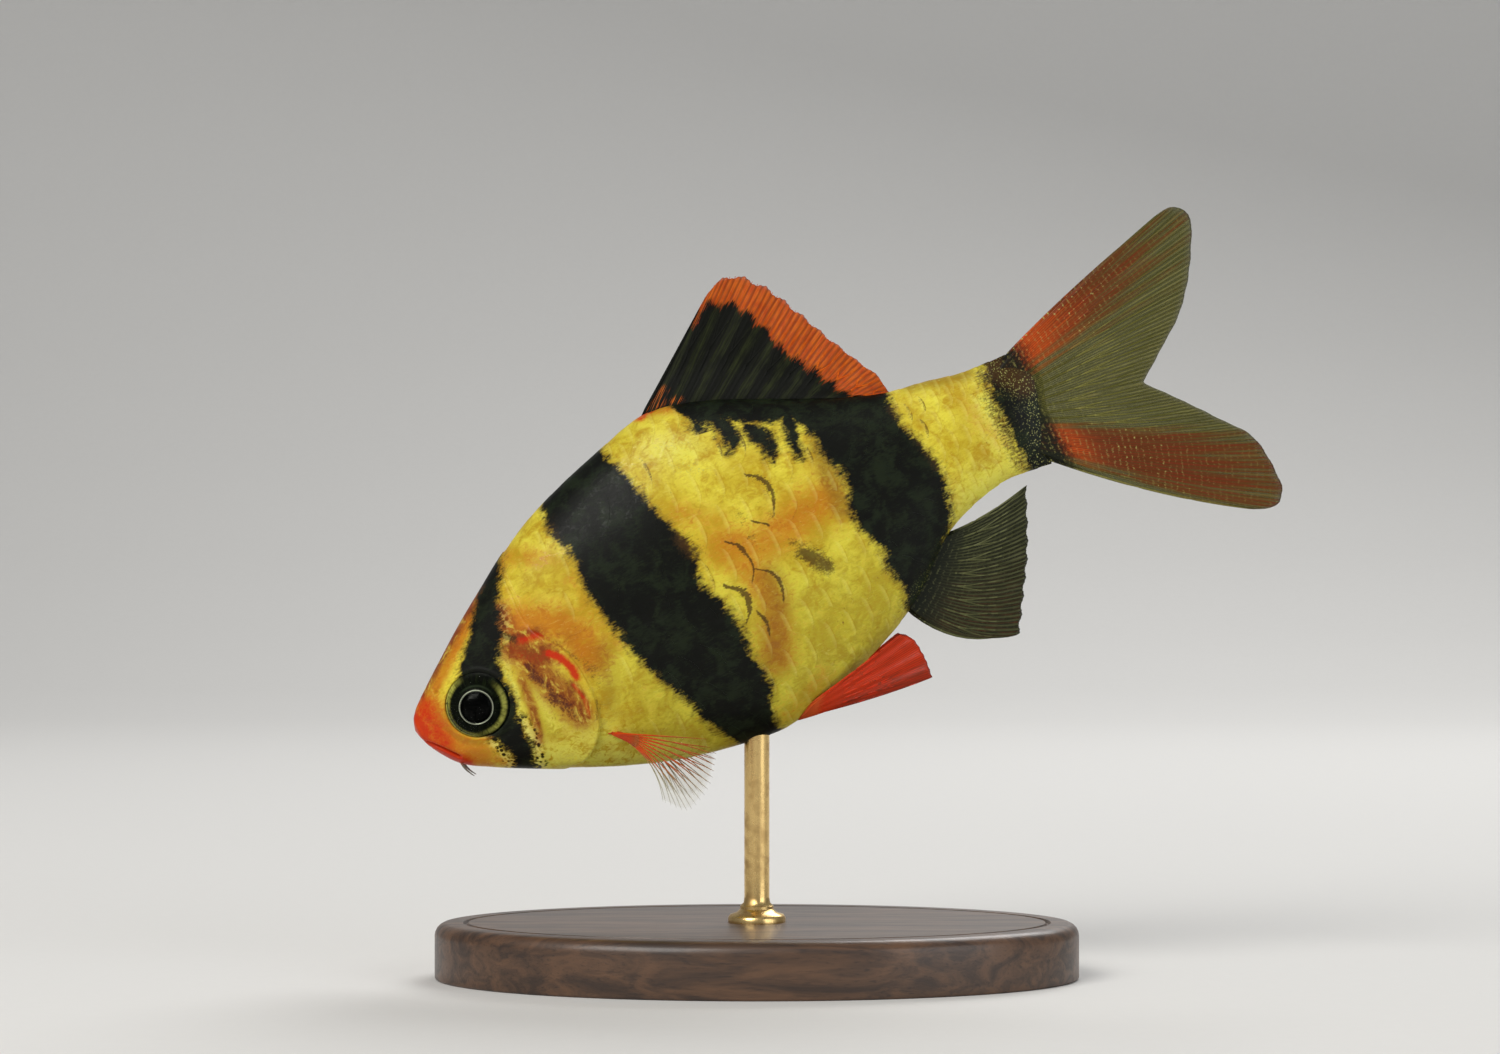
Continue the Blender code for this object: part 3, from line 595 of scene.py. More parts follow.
# The pale yellow after plum is painted on as glints of light.
PLUM, PAINTED_GLINT_COLOUR = (0.080, 0.022, 0.012), (0.42, 0.42, 0.12)
BLACK, BLACK_GREEN = (0.004, 0.0045, 0.003), (0.011, 0.016, 0.007)
LOW_Z, HIGH_Z, LONG_X, DOT_SCALE, SPARK_SCALE = -14.0, 15.0, 60.0, 2.9, 7.0
BAND_EDGES = [  # each band's front and rear edge, as (height, station)
    (
        [(-14, 5.0), (-6.4, 5.15), (-5.77, 5.3), (-4.84, 5.45), (-3.7, 5.05), (-2.4, 4.7),
         (1.6, 4.5), (3.68, 6.13), (6.03, 7.86), (8.0, 9.3), (15, 9.3)],
        [(-14, 6.8), (-6.46, 6.76), (-4.66, 7.13), (-3.07, 7.08), (-1.59, 7.3), (-0.05, 7.38),
         (1.48, 7.47), (2.69, 8.27), (5.37, 9.28), (8.21, 10.61), (15, 10.9)],
    ),
    (
        [(-14, 21.0), (-11.27, 20.44), (-8.87, 19.19), (-6.84, 18.56), (-4.79, 17.55),
         (-2.42, 16.68), (-0.2, 16.14), (3.3, 15.41), (6.02, 15.49), (8.2, 14.75), (10.22, 14.93),
         (15, 15.2)],
        [(-14, 23.4), (-11.57, 23.45), (-9.26, 23.74), (-7.9, 24.21), (-5.8, 23.93), (-4.3, 24.08),
         (-2.22, 23.87), (0.62, 22.83), (2.39, 23.26), (4.14, 22.9), (6.99, 21.86), (10.16, 20.97),
         (11.61, 20.39), (15, 20.2)],
    ),
    (
        [(-14, 36.3), (-7.57, 35.33), (-6.21, 35.8), (-4.46, 35.43), (-2.54, 35.54),
         (-1.03, 34.83), (0.63, 34.65), (2.72, 35.24), (3.99, 34.95), (5.0, 34.6), (5.76, 34.5),
         (7.36, 34.2), (8.48, 33.5), (15, 33.0)],
        [(-14, 39.9), (-5.78, 39.94), (-4.51, 39.75), (-3.04, 40.83), (-0.95, 41.41), (0.5, 41.69),
         (2.72, 41.15), (4.15, 40.63), (5.42, 40.44), (6.83, 40.46), (15, 40.5)],
    ),
    (
        [(-14, 47.45), (-2.03, 47.45), (-0.62, 47.47), (1.04, 47.3), (2.96, 47.41), (4.49, 47.49),
         (5.94, 47.77), (15, 48.2)],
        [(-14, 54.0), (15, 54.0)],
    ),
]
SADDLE_SPAN = (24.0, 44.0)
SADDLE = [  # the black under the dorsal fin, as (station, lower edge)
    (24.0, 15.0), (24.9, 15.0), (25.9, 13.3), (26.6, 12.0), (27.3, 10.9), (28.3, 10.3), (29.4, 10.1),
    (30.4, 9.4), (31.4, 8.8), (32.4, 8.5), (33.4, 8.2), (34.0, 7.6), (35.0, 6.2), (39.9, 6.2),
    (40.6, 7.3), (42.0, 15.0), (44.0, 15.0),
]
NO_TOOTH, TOOTH_REACH = -0.8, 1.6
TEETH = [  # the scales that the black fills, as columns like those of the arcs, -0.8 for none
    (
        [(-14, 28.6), (7.3, 28.6), (7.8, 28.75), (8.7, 29.15), (9.6, 29.1), (10.8, 28.7), (15, 28.6)],
        [(-14, -0.8), (7.0, -0.8), (7.7, 0.0), (8.2, 0.4), (9.0, 0.62), (10.0, 0.6), (11.0, 0.3), (12, -0.8),
         (15, -0.8)],
    ),
    (
        [(-14, 31.0), (5.6, 31.05), (6.6, 31.25), (7.5, 31.3), (8.3, 30.9), (9.2, 30.6), (9.7, 30.4),
         (10.0, 27.6), (11.5, 27.3), (15, 27.3)],
        [(-14, -0.8), (5.2, -0.8), (5.9, 0.0), (6.7, 0.34), (7.5, 0.55), (8.3, 0.7), (9.2, 0.3),
         (9.6, -0.3), (9.8, -0.1), (10.4, 0.3), (11.5, 0.3), (12.2, -0.8), (15, -0.8)],
    ),
    (
        [(-14, 33.0), (5.0, 33.0), (7.0, 33.1), (8.5, 33.4), (9.5, 33.4), (15, 33.4)],
        [(-14, -0.8), (4.4, -0.8), (5.2, 0.0), (6.2, 0.22), (7.4, 0.42), (8.6, 0.6), (9.5, 0.5), (11, -0.8),
         (15, -0.8)],
    ),
]
ARCS = [  # inked scale edges, as columns of (height, station) and of (height, half thickness)
    (
        [(-14, 27.5), (-3.5, 27.54), (-2.37, 27.9), (-1.03, 27.73), (-0.04, 26.7), (2.3, 29.2),
         (3.3, 29.9), (4.66, 30.07), (5.48, 29.67), (6.16, 28.88), (15, 28.9)],
        [(-14, 0), (-3.7, 0), (-3.0, 0.06), (-1.4, 0.13), (-0.3, 0.05), (-0.1, 0), (2.3, 0), (3.2, 0.08),
         (4.6, 0.17), (5.6, 0.2), (6.1, 0.04), (6.4, 0), (15, 0)],
    ),
    (
        [(-14, 25.7), (-5.2, 25.67), (-3.96, 25.9), (-2.88, 25.6), (-1.6, 25.9), (0.0, 26.72),
         (1.0, 26.6), (1.62, 26.45), (2.49, 25.59), (15, 25.5)],
        [(-14, 0), (-5.5, 0), (-4.8, 0.06), (-3.8, 0.13), (-3.0, 0.04), (-2.8, 0), (-1.6, 0), (-0.8, 0.05),
         (0.6, 0.08), (1.6, 0.15), (2.4, 0.04), (2.6, 0), (15, 0)],
    ),
    (
        [(-14, 24.4), (-3.87, 24.36), (-2.7, 25.22), (-1.29, 25.3), (-0.23, 24.32), (1.9, 28.9),
         (3.0, 27.9), (15, 27.9)],
        [(-14, 0), (-4.0, 0), (-3.2, 0.1), (-2.2, 0.2), (-1.2, 0.24), (-0.4, 0.1), (-0.1, 0), (1.8, 0),
         (2.4, 0.1), (3.0, 0.02), (3.1, 0), (15, 0)],
    ),
]


def fish_place(hand):
    """A point's place in the fish's own frame, in millimetres."""
    along, up = SNOUT[0], SNOUT[2]
    shift = (-along * PITCH_COS - up * PITCH_SIN, 0.0, along * PITCH_SIN - up * PITCH_COS)
    return hand.place(location=shift, rotation=(0.0, PITCH, 0.0), scale=(1 / MM,) * 3)


def stretched(hand, where, x, y, z):
    return hand.node("VectorMath", {"operation": "MULTIPLY"}, {0: where, 1: (x, y, z)})


def edge_line(hand, at, line, reach, span=(LOW_Z, HIGH_Z)):
    """A line of the markings, read at a place along its span. reach is more than all its values."""
    low, length = span[0], span[1] - span[0]
    points = [((a - low) / length, b / reach) for a, b in line]
    return hand.node("FloatCurve", {"line": points}, {1: (at - low) / length}) * reach


def in_bands(hand, x, z):
    """How deep in a black band a point lies, in millimetres, under 0 outside."""
    deep = z - edge_line(hand, x, SADDLE, HIGH_Z, SADDLE_SPAN)
    for line, thickness in TEETH:
        away = hand.math("ABSOLUTE", x - edge_line(hand, z, line, LONG_X))
        from_none = [(height, half - NO_TOOTH) for height, half in thickness]
        deep = deep.most(edge_line(hand, z, from_none, TOOTH_REACH) + NO_TOOTH - away)
    for front, rear in BAND_EDGES:
        after = x - edge_line(hand, z, front, LONG_X)
        deep = deep.most(after.least(edge_line(hand, z, rear, LONG_X) - x))
    return deep


def in_arcs(hand, x, z, ragged):
    """How far the inked scale edges cover a point."""
    cover = 0.0
    for line, thickness in ARCS:
        away = hand.math("ABSOLUTE", x - edge_line(hand, z, line, LONG_X))
        half = edge_line(hand, z, thickness, 1.0)
        cover = (half * (1.0 + ragged) - away).rise(-0.07, 0.05) * half.rise(0.01, 0.05) + cover
    return cover


def dotted(hand, where, scale):
    """The distance to the nearest of many scattered dots."""
    return hand.node("TexVoronoi", {"feature": "F1"}, {"Vector": where, "Scale": scale})


def flesh(name, scaled):
    """The paint of the skin and of the scales, which carry the same markings."""
    finish, hand = new_finish(
        name,
        {
            "Subsurface Weight": 0.12,
            "Subsurface Radius": (1.0, 0.45, 0.1),
            "Subsurface Scale": 0.0005,
            "Specular IOR Level": 0.1,
            "Coat Roughness": 0.12,
        },
    )
    where = fish_place(hand)
    x = hand.node("SeparateXYZ", {}, {0: where}, 0)
    z = hand.node("SeparateXYZ", {}, {0: where}, 2)
    broad = hand.noise(where, 0.24, 1.0)
    cloud = hand.noise(where, 0.65, 3.0, 0.55, 0.6)
    wash = hand.noise(stretched(hand, where, 1.0, 1.0, 1.4), 1.7, 3.0, 0.55, 1.4)
    fibre = hand.noise(stretched(hand, where, 0.9, 2.2, 3.2), 2.1, 5.0, 0.68, 1.2)
    swirl = hand.noise(stretched(hand, where, 1.3, 1.0, 0.8), 0.95, 4.0, 0.6, 1.2)
    hairs = hand.noise(stretched(hand, where, 1.2, 5.0, 5.0), 1.6, 3.0, 0.65)
    wobble = hand.noise(where, 1.4, 4.0, 0.62)
    grain = hand.noise(where, 7.0, 2.0, 0.6)
    tone = (broad * 0.7 + cloud * 0.8 + wash * 0.3).rise(0.72, 1.08)
    soft = (wash - 0.5) * 1.1 + (cloud - 0.5) * 0.8
    mixed = (grain - 0.5) * 2.0 + (fibre - 0.5) * 1.6
    rusty = hand.mark("rust") + mixed * 0.45 + (swirl - 0.5) * 2.4
    straw = hand.mark("rust").rise(0.1, 0.6) + (0.5 - swirl) * 4.0 + (fibre - 0.5)
    plum = hand.mark("plum") + mixed * 0.6 + (swirl - 0.5) * 2.0
    colour = hand.paint(
        GOLD_DEEP,
        (GOLD_PALE, tone),
        (OLIVE_GOLD, hand.mark("olive") * (1 - (cloud + wash).rise(0.8, 1.3) * 0.6)),
        # pale belly and patches, partly painted light that lightens the shaded underside
        (PALE_BELLY, hand.mark("pale") * wash.rise(0.3, 0.55)),
        (AMBER, (1 - (cloud * 0.8 + wash * 0.5).rise(0.45, 0.7)) * 0.38),
        (ORANGE, (hand.mark("orange") + soft).rise(0.1, 1.05) * 0.9),
        (TAWNY, (hand.mark("tawny") + soft * 0.6).rise(0.1, 1.1) * 0.7),
        (AMBER, (1 - fibre.rise(0.32, 0.5)) * 0.28),
        (PALE_FIBRE, fibre.rise(0.54, 0.8) * 0.36),
        (TERRACOTTA, (hand.mark("rust") + soft * 0.6).rise(0.05, 0.75) * 0.85),
        (RUST, rusty.rise(0.4, 1.15) * 0.75),
        (PALE_BELLY, straw.rise(1.1, 1.8) * 0.5),
        (RED, (hand.mark("red") + mixed * 0.22 + soft * 0.3).rise(0.15, 0.85) * 0.95),
        (PLUM, plum.rise(0.45, 1.0) * 0.8),
    )
    ragged = in_bands(hand, x, z) + (hairs - 0.5) * 1.2 + (wobble - 0.5) * 1.5 + (grain - 0.5) * 0.25
    dusk = (hand.mark("dusk") + (hairs - 0.5) * 1.2 + (grain - 0.5) * 0.9).rise(0.15, 0.8)
    dusk = dusk.most(in_arcs(hand, x, z, (hairs - 0.5) * 4.0 + (grain - 0.5) * 2.0))
    if scaled:
        rim = hand.mark("to_edge")
        inked = hand.mark("ink") * (1 - rim.rise(0.06, 0.4)) + (hairs - 0.5) + (grain - 0.5)
        dusk = dusk.most(inked.rise(0.25, 0.6) * 0.7)
        # A painted highlight: a pale band just inside each scale's rear edge. The very edge is painted
        # darker amber.
        painted_rim_highlight = rim.rise(0.05, 0.14) * (1 - rim.rise(0.16, 0.42)) * 0.15
        colour = hand.paint(colour, (PALE_FIBRE, painted_rim_highlight), (AMBER, (1 - rim.rise(0.02, 0.12)) * 0.3))
    dots = dotted(hand, where, DOT_SCALE)
    spotted = hand.mark("spots").rise(0.2, 0.7) * (1 - dots.rise(0.33, 0.45)) * ragged.rise(-1.2, -0.5)
    freckled = hand.mark("spots") * dots.rise(0.44, 0.56) * ragged.rise(-1.0, -0.5)
    night = hand.paint(
        BLACK,
        (BLACK_GREEN, (cloud + (fibre - 0.5) * 0.8).rise(0.42, 0.68)),
        (BROWN, (hand.mark("browned") + mixed * 0.4).rise(0.2, 0.9) * 0.8),
    )
    black = ragged.rise(-0.2, 0.26)
    # Painted glints: bright specks, with a little more clear coat, where light would glint.
    sparks = dotted(hand, where, SPARK_SCALE)
    painted_glint = hand.mark("glitter") * (1 - sparks.rise(0.2, 0.42)) * grain.rise(0.36, 0.58)
    colour = hand.paint(
        colour,
        (BROWN, dusk * 0.85),
        (BROWN, ragged.rise(-0.65, 0.15) * 0.75),
        (BLACK, spotted * 0.95),
        (PALE_FIBRE, freckled * (1 - ragged.rise(-0.3, -0.1)) * 0.6),
        (night, black),
        (PAINTED_GLINT_COLOUR, painted_glint * 0.8),
    )
    lay_on(
        finish,
        {
            "Base Color": colour,
            "Roughness": 0.3 + fibre * 0.25,
            "Coat Weight": (0.04 + wash.rise(0.5, 0.75) * 0.26) * (1 - black * 0.65) + painted_glint * 0.5,
            "Normal": hand.bump(fibre * 0.6 + wash * 0.4 + painted_glint * 0.3, 0.00006, 0.25),
        },
    )
    return finish


SKIN_NODES = ["head", "trunk", "tail_stem", "gill_cover_left", "gill_cover_right"]
set_out("skin", skin, flesh("painted_skin", False), "skin", *SKIN_NODES)


# The scales: thin round-backed plates of clear resin laid in rows over the skin, each under the two
# in front of it. They carry the skin's paint, and some have an inked edge as on the living fish.
SIDES = (("left", -1.0), ("right", 1.0))
ROW_APART, ROW_HALF_COUNT, ROWS_FROM, ROWS_TO = 2.15, 6, 8.0, 49.0
PITCH_FRONT, PITCH_REAR, PITCH_SHRINKS = 1.78, 0.95, (22.0, 49.0)
BODY_DEEPEST, GIRTH_BY_DEPTH = 24.9, 1.06
ROW_SQUEEZE, BACK_HEIGHT, BELLY_HEIGHT, BEHIND_GILL, BEFORE_TAIL = 0.985, 0.015, 0.985, 0.6, 1.6
SCALE_LONG, SCALE_TALL, SCALE_ROUND, ROUND_POWER, FRONT_TALL = 1.9, 2.06, 0.42, 2.4, 0.82
SCALE_THICK, SCALE_SUNK, SCALE_RISE, RISE_JITTER = 0.035, -0.10, 0.032, 0.012
RISE_AT, EDGE_AT, RIM_AT = 0.55, 0.9, 0.97
NAPE_RISE, NAPE_SPAN = 0.4, (13.0, 19.0)
INK_RADIUS, MAP_LENGTH, MAP_SHARE, MAP_PATCH, MAP_UNDER = 0.95, 52.0, 0.98, 0.0026, 0.0004
INK_PLACES = [  # the scales with inked edges, as (station, up, strength)
    (27.9, 9.6, 0.6), (29.4, 8.0, 0.7), (28.0, 7.4, 0.45), (24.4, 1.0, 0.4), (33.3, 5.5, 0.5),
    (42.0, 3.6, 0.6), (41.9, 5.2, 0.5), (24.6, -6.0, 0.5), (22.6, 8.4, 0.5), (23.4, 3.2, 0.7),
]


def scale_template():
    """One scale, flat: 1 long and 1 tall, square in front and round behind."""
    bm = bmesh.new()
    bmesh.ops.create_grid(bm, x_segments=4, y_segments=8, size=0.5)
    for vertex in bm.verts:
        along, across = vertex.co.x + 0.5, vertex.co.y * 2
        vertex.co.x = along * (1 - SCALE_ROUND * abs(across) ** ROUND_POWER)
        widens = math.sin(math.pi * min(along, 0.6) / 1.2)
        vertex.co.y = across / 2 * (FRONT_TALL + (1 - FRONT_TALL) * widens)
    bmesh.ops.recalc_face_normals(bm, faces=bm.faces)
    bmesh.ops.solidify(bm, geom=bm.faces, thickness=0.1)
    bmesh.ops.recalc_face_normals(bm, faces=bm.faces)
    return new_mesh("scale", bm)


def sown(name, template, count):
    """A mesh that holds a template many times over, and the template's own points."""
    bm = bmesh.new()
    for _ in range(count):
        bm.from_mesh(template)
    return new_mesh(name, bm), points_of(template).astype(float)


def lay_out(mesh, places, marks, uv):
    """Gives a sown mesh its places, its marks and its OFBake map."""
    put_points(mesh, places, marks)
    corners = np.empty(len(mesh.loops), np.int32)
    mesh.loops.foreach_get("vertex_index", corners)
    baked = mesh.uv_layers.new(name="OFBake")
    baked.data.foreach_set("uv", uv.reshape(-1, 2)[corners].astype(np.float32).ravel())


def scale_rows():
    """The place of each scale's front edge, as (station, height, row spacing, pitch)."""
    rows = []
    for row in range(-ROW_HALF_COUNT, ROW_HALF_COUNT + 1):
        x = ROWS_FROM + (0.5 if row % 2 else 0.0) * PITCH_FRONT
        while x < ROWS_TO:
            depth = back(x) - belly(x)
            apart = ROW_APART * math.sqrt(depth / BODY_DEEPEST)
            height = 0.5 + row * apart / (GIRTH_BY_DEPTH * depth) * ROW_SQUEEZE
            pitch = PITCH_FRONT + (PITCH_REAR - PITCH_FRONT) * float(ease(x, *PITCH_SHRINKS))
            gill = float(smooth(height, GILL_HEIGHT, GILL_EDGE))
            rear = float(smooth(height, REAR_HEIGHT, REAR_EDGE))
            on_flank = BACK_HEIGHT < height < BELLY_HEIGHT
            if on_flank and gill - BEHIND_GILL < x < rear - BEFORE_TAIL:
                rows.append((x, height, apart, pitch))
            x += pitch
    return np.array(rows)


rows = scale_rows()
scale_paint = flesh("painted_scales", True)
template = scale_template()
chance = np.random.default_rng(7)
for word, side in SIDES:
    scales, flat = sown(f"scales_{word}", template, len(rows))
    x0, height0, apart, pitch = [column[:, None] for column in rows.T]
    along, across, under = flat[:, 0], flat[:, 1], (flat[:, 2] < -0.05).astype(float)
    reach = pitch * SCALE_LONG
    x = x0 + along * reach
    sin = np.maximum(np.sin(np.pi * height0), 0.2)
    half, wide = (back(x0) - belly(x0)) / 2, half_width(x0)
    speed = np.pi * np.hypot(half * sin, wide * np.cos(np.pi * height0))
    height = height0 + across * apart * SCALE_TALL / speed
    rise = SCALE_RISE * (NAPE_RISE + (1 - NAPE_RISE) * ease(x0, *NAPE_SPAN))
    lift = SCALE_SUNK + rise * (along / RISE_AT) - under * SCALE_THICK
    lift = lift + RISE_JITTER * chance.standard_normal(x0.shape) * along
    places = on_body(x, height, side, lift)
    marks = paint_marks(x, places[..., 2])
    rounded = 1 - SCALE_ROUND * np.abs(across * 2) ** ROUND_POWER
    to_edge = (1 - along) * reach * EDGE_AT * rounded
    rim_x = x0 + reach * RIM_AT
    rim_z = on_body(rim_x, height0, side, 0 * x0)[..., 2]
    ink = 0 * rim_x
    for ink_x, ink_z, strength in INK_PLACES:
        ink = np.maximum(ink, strength * (from_spot(rim_x, rim_z, (ink_x, ink_z)) < INK_RADIUS))
    marks.update(to_edge=to_edge + 0 * x, ink=ink + 0 * x)
    root = np.stack([x0 / MAP_LENGTH, 0.5 + side * 0.5 * (1 - height0)], -1) * MAP_SHARE
    patch = np.stack([along, across + 0.5], -1) * MAP_PATCH
    uv = root + patch + np.stack([0 * under, under * MAP_UNDER], -1)
    lay_out(scales, places, marks, uv)
    set_out(f"scales_{word}", scales, scale_paint, "skin", crease=50.0)


# The eyes: a painted iris round a black pupil, ringed with silver leaf, under a clear dome.
# Each is cast apart and set in its socket with its rim flush with the skin.
IRIS_PROFILE = [  # distance from the middle and height, over the face and back under it
    (0.0, 0.40), (0.35, 0.385), (0.65, 0.34), (0.9, 0.26), (1.06, 0.16), (1.13, 0.09), (1.17, 0.13),
    (1.21, 0.145), (1.25, 0.12), (1.29, 0.07), (1.42, 0.07), (1.6, 0.09), (1.78, 0.10), (1.95, 0.09),
    (2.1, 0.06), (2.22, 0.02), (2.31, -0.03), (2.37, -0.1), (2.34, -0.4), (1.9, -0.7), (1.0, -0.8),
    (0.0, -0.82),
]
DOME_PROFILE = [
    (0.0, 0.58), (0.45, 0.565), (0.9, 0.52), (1.3, 0.43), (1.7, 0.3), (2.0, 0.17), (2.2, 0.06),
    (2.34, -0.03), (2.30, -0.05), (2.16, 0.04), (1.95, 0.13), (1.66, 0.25), (1.27, 0.38),
    (0.88, 0.47), (0.44, 0.515), (0.0, 0.53),
]
PUPIL_OFF, EYE_SIDES = (-0.2, -0.16), 72
IRIS_BLACK, IRIS_GREEN, HALO_GREEN = (0.002, 0.003, 0.0015), (0.020, 0.028, 0.009), (0.030, 0.042, 0.022)
REAR_GOLD, LOWER_GOLD, SOCKET_AMBER = (0.58, 0.56, 0.12), (0.56, 0.53, 0.10), (0.42, 0.20, 0.015)
SILVER_LEAF, PUPIL_BLACK, DOME_CLEAR = (0.60, 0.62, 0.50), (0.001, 0.001, 0.001), (0.98, 0.99, 0.97)


def side_of(x, z):
    """Half the body's width at a place of its side."""
    return on_body(x, height_at(x, z), 1.0, 0 * x)[..., 1]


def eye_piece(name, profile, side):
    """A lathe-turned piece of the eye, seated on the curve of the head round its rim."""
    bm = turned(profile, EYE_SIDES)
    x, z, out = np.array([vertex.co[:] for vertex in bm.verts]).T
    ring = np.hypot(x, z)
    safe = np.maximum(ring, 1e-6)
    toward_x, toward_z = x / safe, z / safe
    rim = side_of(EYE[0] + toward_x * EYE_RADIUS, EYE[1] + toward_z * EYE_RADIUS)
    share = (ring / EYE_RADIUS) ** 2
    level = np.mean(rim) * (1 - share) + rim * share
    x, z = EYE[0] + x + PUPIL_OFF[0] * (1 - share), EYE[1] + z + PUPIL_OFF[1] * (1 - share)
    rearward = toward_x * PITCH_COS - toward_z * PITCH_SIN
    marks = {"ring": ring, "rearward": rearward, "upward": toward_x * PITCH_SIN + toward_z * PITCH_COS}
    places = np.stack([x, side * (level + out), z], -1)
    for vertex, place in zip(bm.verts, in_pose(places)):
        vertex.co = place
    bmesh.ops.recalc_face_normals(bm, faces=bm.faces)
    mesh = new_mesh(name, bm)
    put_points(mesh, places, marks)
    return mesh


iris, hand = new_finish("painted_iris", {"Specular IOR Level": 0.06})
ring, rearward, upward = hand.mark("ring"), hand.mark("rearward"), hand.mark("upward")
spoke_place = hand.node("CombineXYZ", {}, {0: rearward * 7.0, 1: upward * 7.0, 2: ring * 0.8})
spokes = hand.noise(spoke_place, 1.6, 3.0, 0.6)
fleck = hand.noise(hand.place(), 6000.0, 2.0)
crescent = ring.rise(1.68, 1.95) * (1 - ring.rise(2.06, 2.24)) * (rearward - upward * 0.3).rise(0.2, 1.0)
lower = ring.rise(1.84, 2.12) * (0 - rearward - upward * 0.4).rise(0.05, 0.7)
halo = ring.rise(1.38, 1.46) * (1 - ring.rise(1.5, 1.6)) * upward.rise(0.5, 0.95)
silver = ring.rise(1.13, 1.165) * (1 - ring.rise(1.21, 1.25))
colour = hand.paint(
    IRIS_BLACK,
    (IRIS_GREEN, spokes.rise(0.45, 0.8) * 0.8),
    (REAR_GOLD, crescent * (spokes * 1.6 + fleck * 0.6).rise(0.5, 1.4)),
    (LOWER_GOLD, lower * (spokes * 1.2 + fleck * 0.4).rise(0.35, 0.95)),
    (HALO_GREEN, halo * 0.8),
    (SOCKET_AMBER, ring.rise(2.24, 2.31) * (0 - rearward - upward * 0.7).rise(0.1, 0.6)),
    (SILVER_LEAF, silver * (spokes + 0.5).rise(0.6, 1.0)),
    (PUPIL_BLACK, 1 - ring.rise(1.1, 1.14)),
)
lay_on(iris, {"Base Color": colour, "Metallic": silver * 0.8, "Roughness": 0.18 + ring.rise(1.1, 1.3) * 0.2})

glass, hand = new_finish("eye_glass", {"Base Color": (0.0, 0.0, 0.0, 1.0), "Roughness": 0.02})
glass_nodes = glass.node_tree.nodes
clear = hand.node("BsdfTransparent", {}, {"Color": DOME_CLEAR})
sheen = hand.node("Fresnel", {}, {"IOR": 1.36})
shine = Tint(glass.node_tree, glass_nodes["Principled BSDF"].outputs[0])
mixed = hand.node("MixShader", {}, {0: sheen * 0.8 - 0.015, 1: clear, 2: shine})
glass.node_tree.links.new(mixed.socket, glass_nodes["Material Output"].inputs["Surface"])
for word, side in SIDES:
    set_out(f"iris_{word}", eye_piece(f"iris_{word}", IRIS_PROFILE, side), iris, "eye", f"eye_{word}")
    set_out(f"eye_dome_{word}", eye_piece(f"eye_dome_{word}", DOME_PROFILE, side), glass, "eye")


# The barbels: two short feelers of clear resin that hang from the corners of the mouth. Each is
# drawn out to a fine tip and glued into the lip.
BARBEL_ROOT, BARBEL_LENGTH, BARBEL_RADIUS, BARBEL_TIP = (1.95, -3.95), 1.3, 0.11, 0.03
BARBEL_RINGS, BARBEL_SIDES, BARBEL_START = 14, 12, 0.05
BARBEL_REARWARD, BARBEL_OUTWARD, BARBEL_CURL, STRAND_END = 0.36, 0.34, 0.1, 0.55
FEELER_RED, FEELER_GREY, FEELER_BROWN = (0.40, 0.06, 0.015), (0.13, 0.11, 0.08), (0.06, 0.045, 0.03)


def strands(name, count, rings, sides, path, girth, aside, mark, uv):
    """Many tapered round strands as one mesh.

    path, girth and mark take shares of the length and give the strands' middle lines, radii and
    marks. aside is a direction that no strand runs along.
    """
    stations = [(1.0, k / rings) for k in range(1, rings)]
    profile = [(0.0, 0.0), (STRAND_END, 0.0)] + stations + [(STRAND_END, 1.0), (0.0, 1.0)]
    template = new_mesh("strand", turned(profile, sides))
    mesh, flat = sown(name, template, count)
    share, turn = flat[:, 2], np.arctan2(flat[:, 1], flat[:, 0])
    reach = np.hypot(flat[:, 0], flat[:, 1])[:, None]
    ahead = path(np.minimum(share + 0.02, 1.0)) - path(np.maximum(share - 0.02, 0.0))
    ahead /= np.linalg.norm(ahead, axis=-1, keepdims=True)
    first = np.cross(ahead, aside(share))
    first /= np.linalg.norm(first, axis=-1, keepdims=True)
    second = np.cross(ahead, first)
    round_it = np.cos(turn)[:, None] * first + np.sin(turn)[:, None] * second
    places = path(share) + girth(share)[..., None] * reach * round_it
    lay_out(mesh, places, mark(share), uv(share, turn))
    return mesh


def barbel_path(share):
    """The middle lines of both barbels, which hang and sweep a little out and back."""
    lines = []
    for _, side in SIDES:
        root = on_body(np.array(BARBEL_ROOT[0]), height_at(*BARBEL_ROOT), side, BARBEL_START)
        out = side * (BARBEL_OUTWARD * share - BARBEL_CURL * share**2)
        hang = np.stack([BARBEL_REARWARD * share**2, out, BARBEL_START - share], -1)
        lines.append(root + BARBEL_LENGTH * hang)
    return np.array(lines)


def both_barbels(values):
    return np.tile(values, (2, 1))


barbels = strands(
    "barbels", len(SIDES), BARBEL_RINGS, BARBEL_SIDES, barbel_path,
    lambda share: both_barbels(BARBEL_RADIUS + (BARBEL_TIP - BARBEL_RADIUS) * share),
    lambda share: np.array([1.0, 0.0, 0.0]),
    lambda share: {"reach": both_barbels(share)},
    lambda share, turn: np.stack(
        [np.array([[0.2], [0.6]]) + turn / 40 + 0 * share, 0.1 + 0.8 * both_barbels(share)], -1
    ),
)
feeler, hand = new_finish("feeler", {"Subsurface Weight": 0.2, "Subsurface Scale": 0.0003})
reach, mottle = hand.mark("reach"), hand.noise(hand.place(), 9000.0, 2.0)
greyed, mottled = (FEELER_GREY, reach.rise(0.0, 0.3)), (FEELER_BROWN, mottle.rise(0.5, 0.7) * 0.6)
lay_on(
    feeler,
    {
        "Base Color": hand.paint(FEELER_RED, greyed, mottled),
        "Roughness": 0.3 + mottle * 0.2,
        "Alpha": 1.0 - reach * 0.3,
    },
)
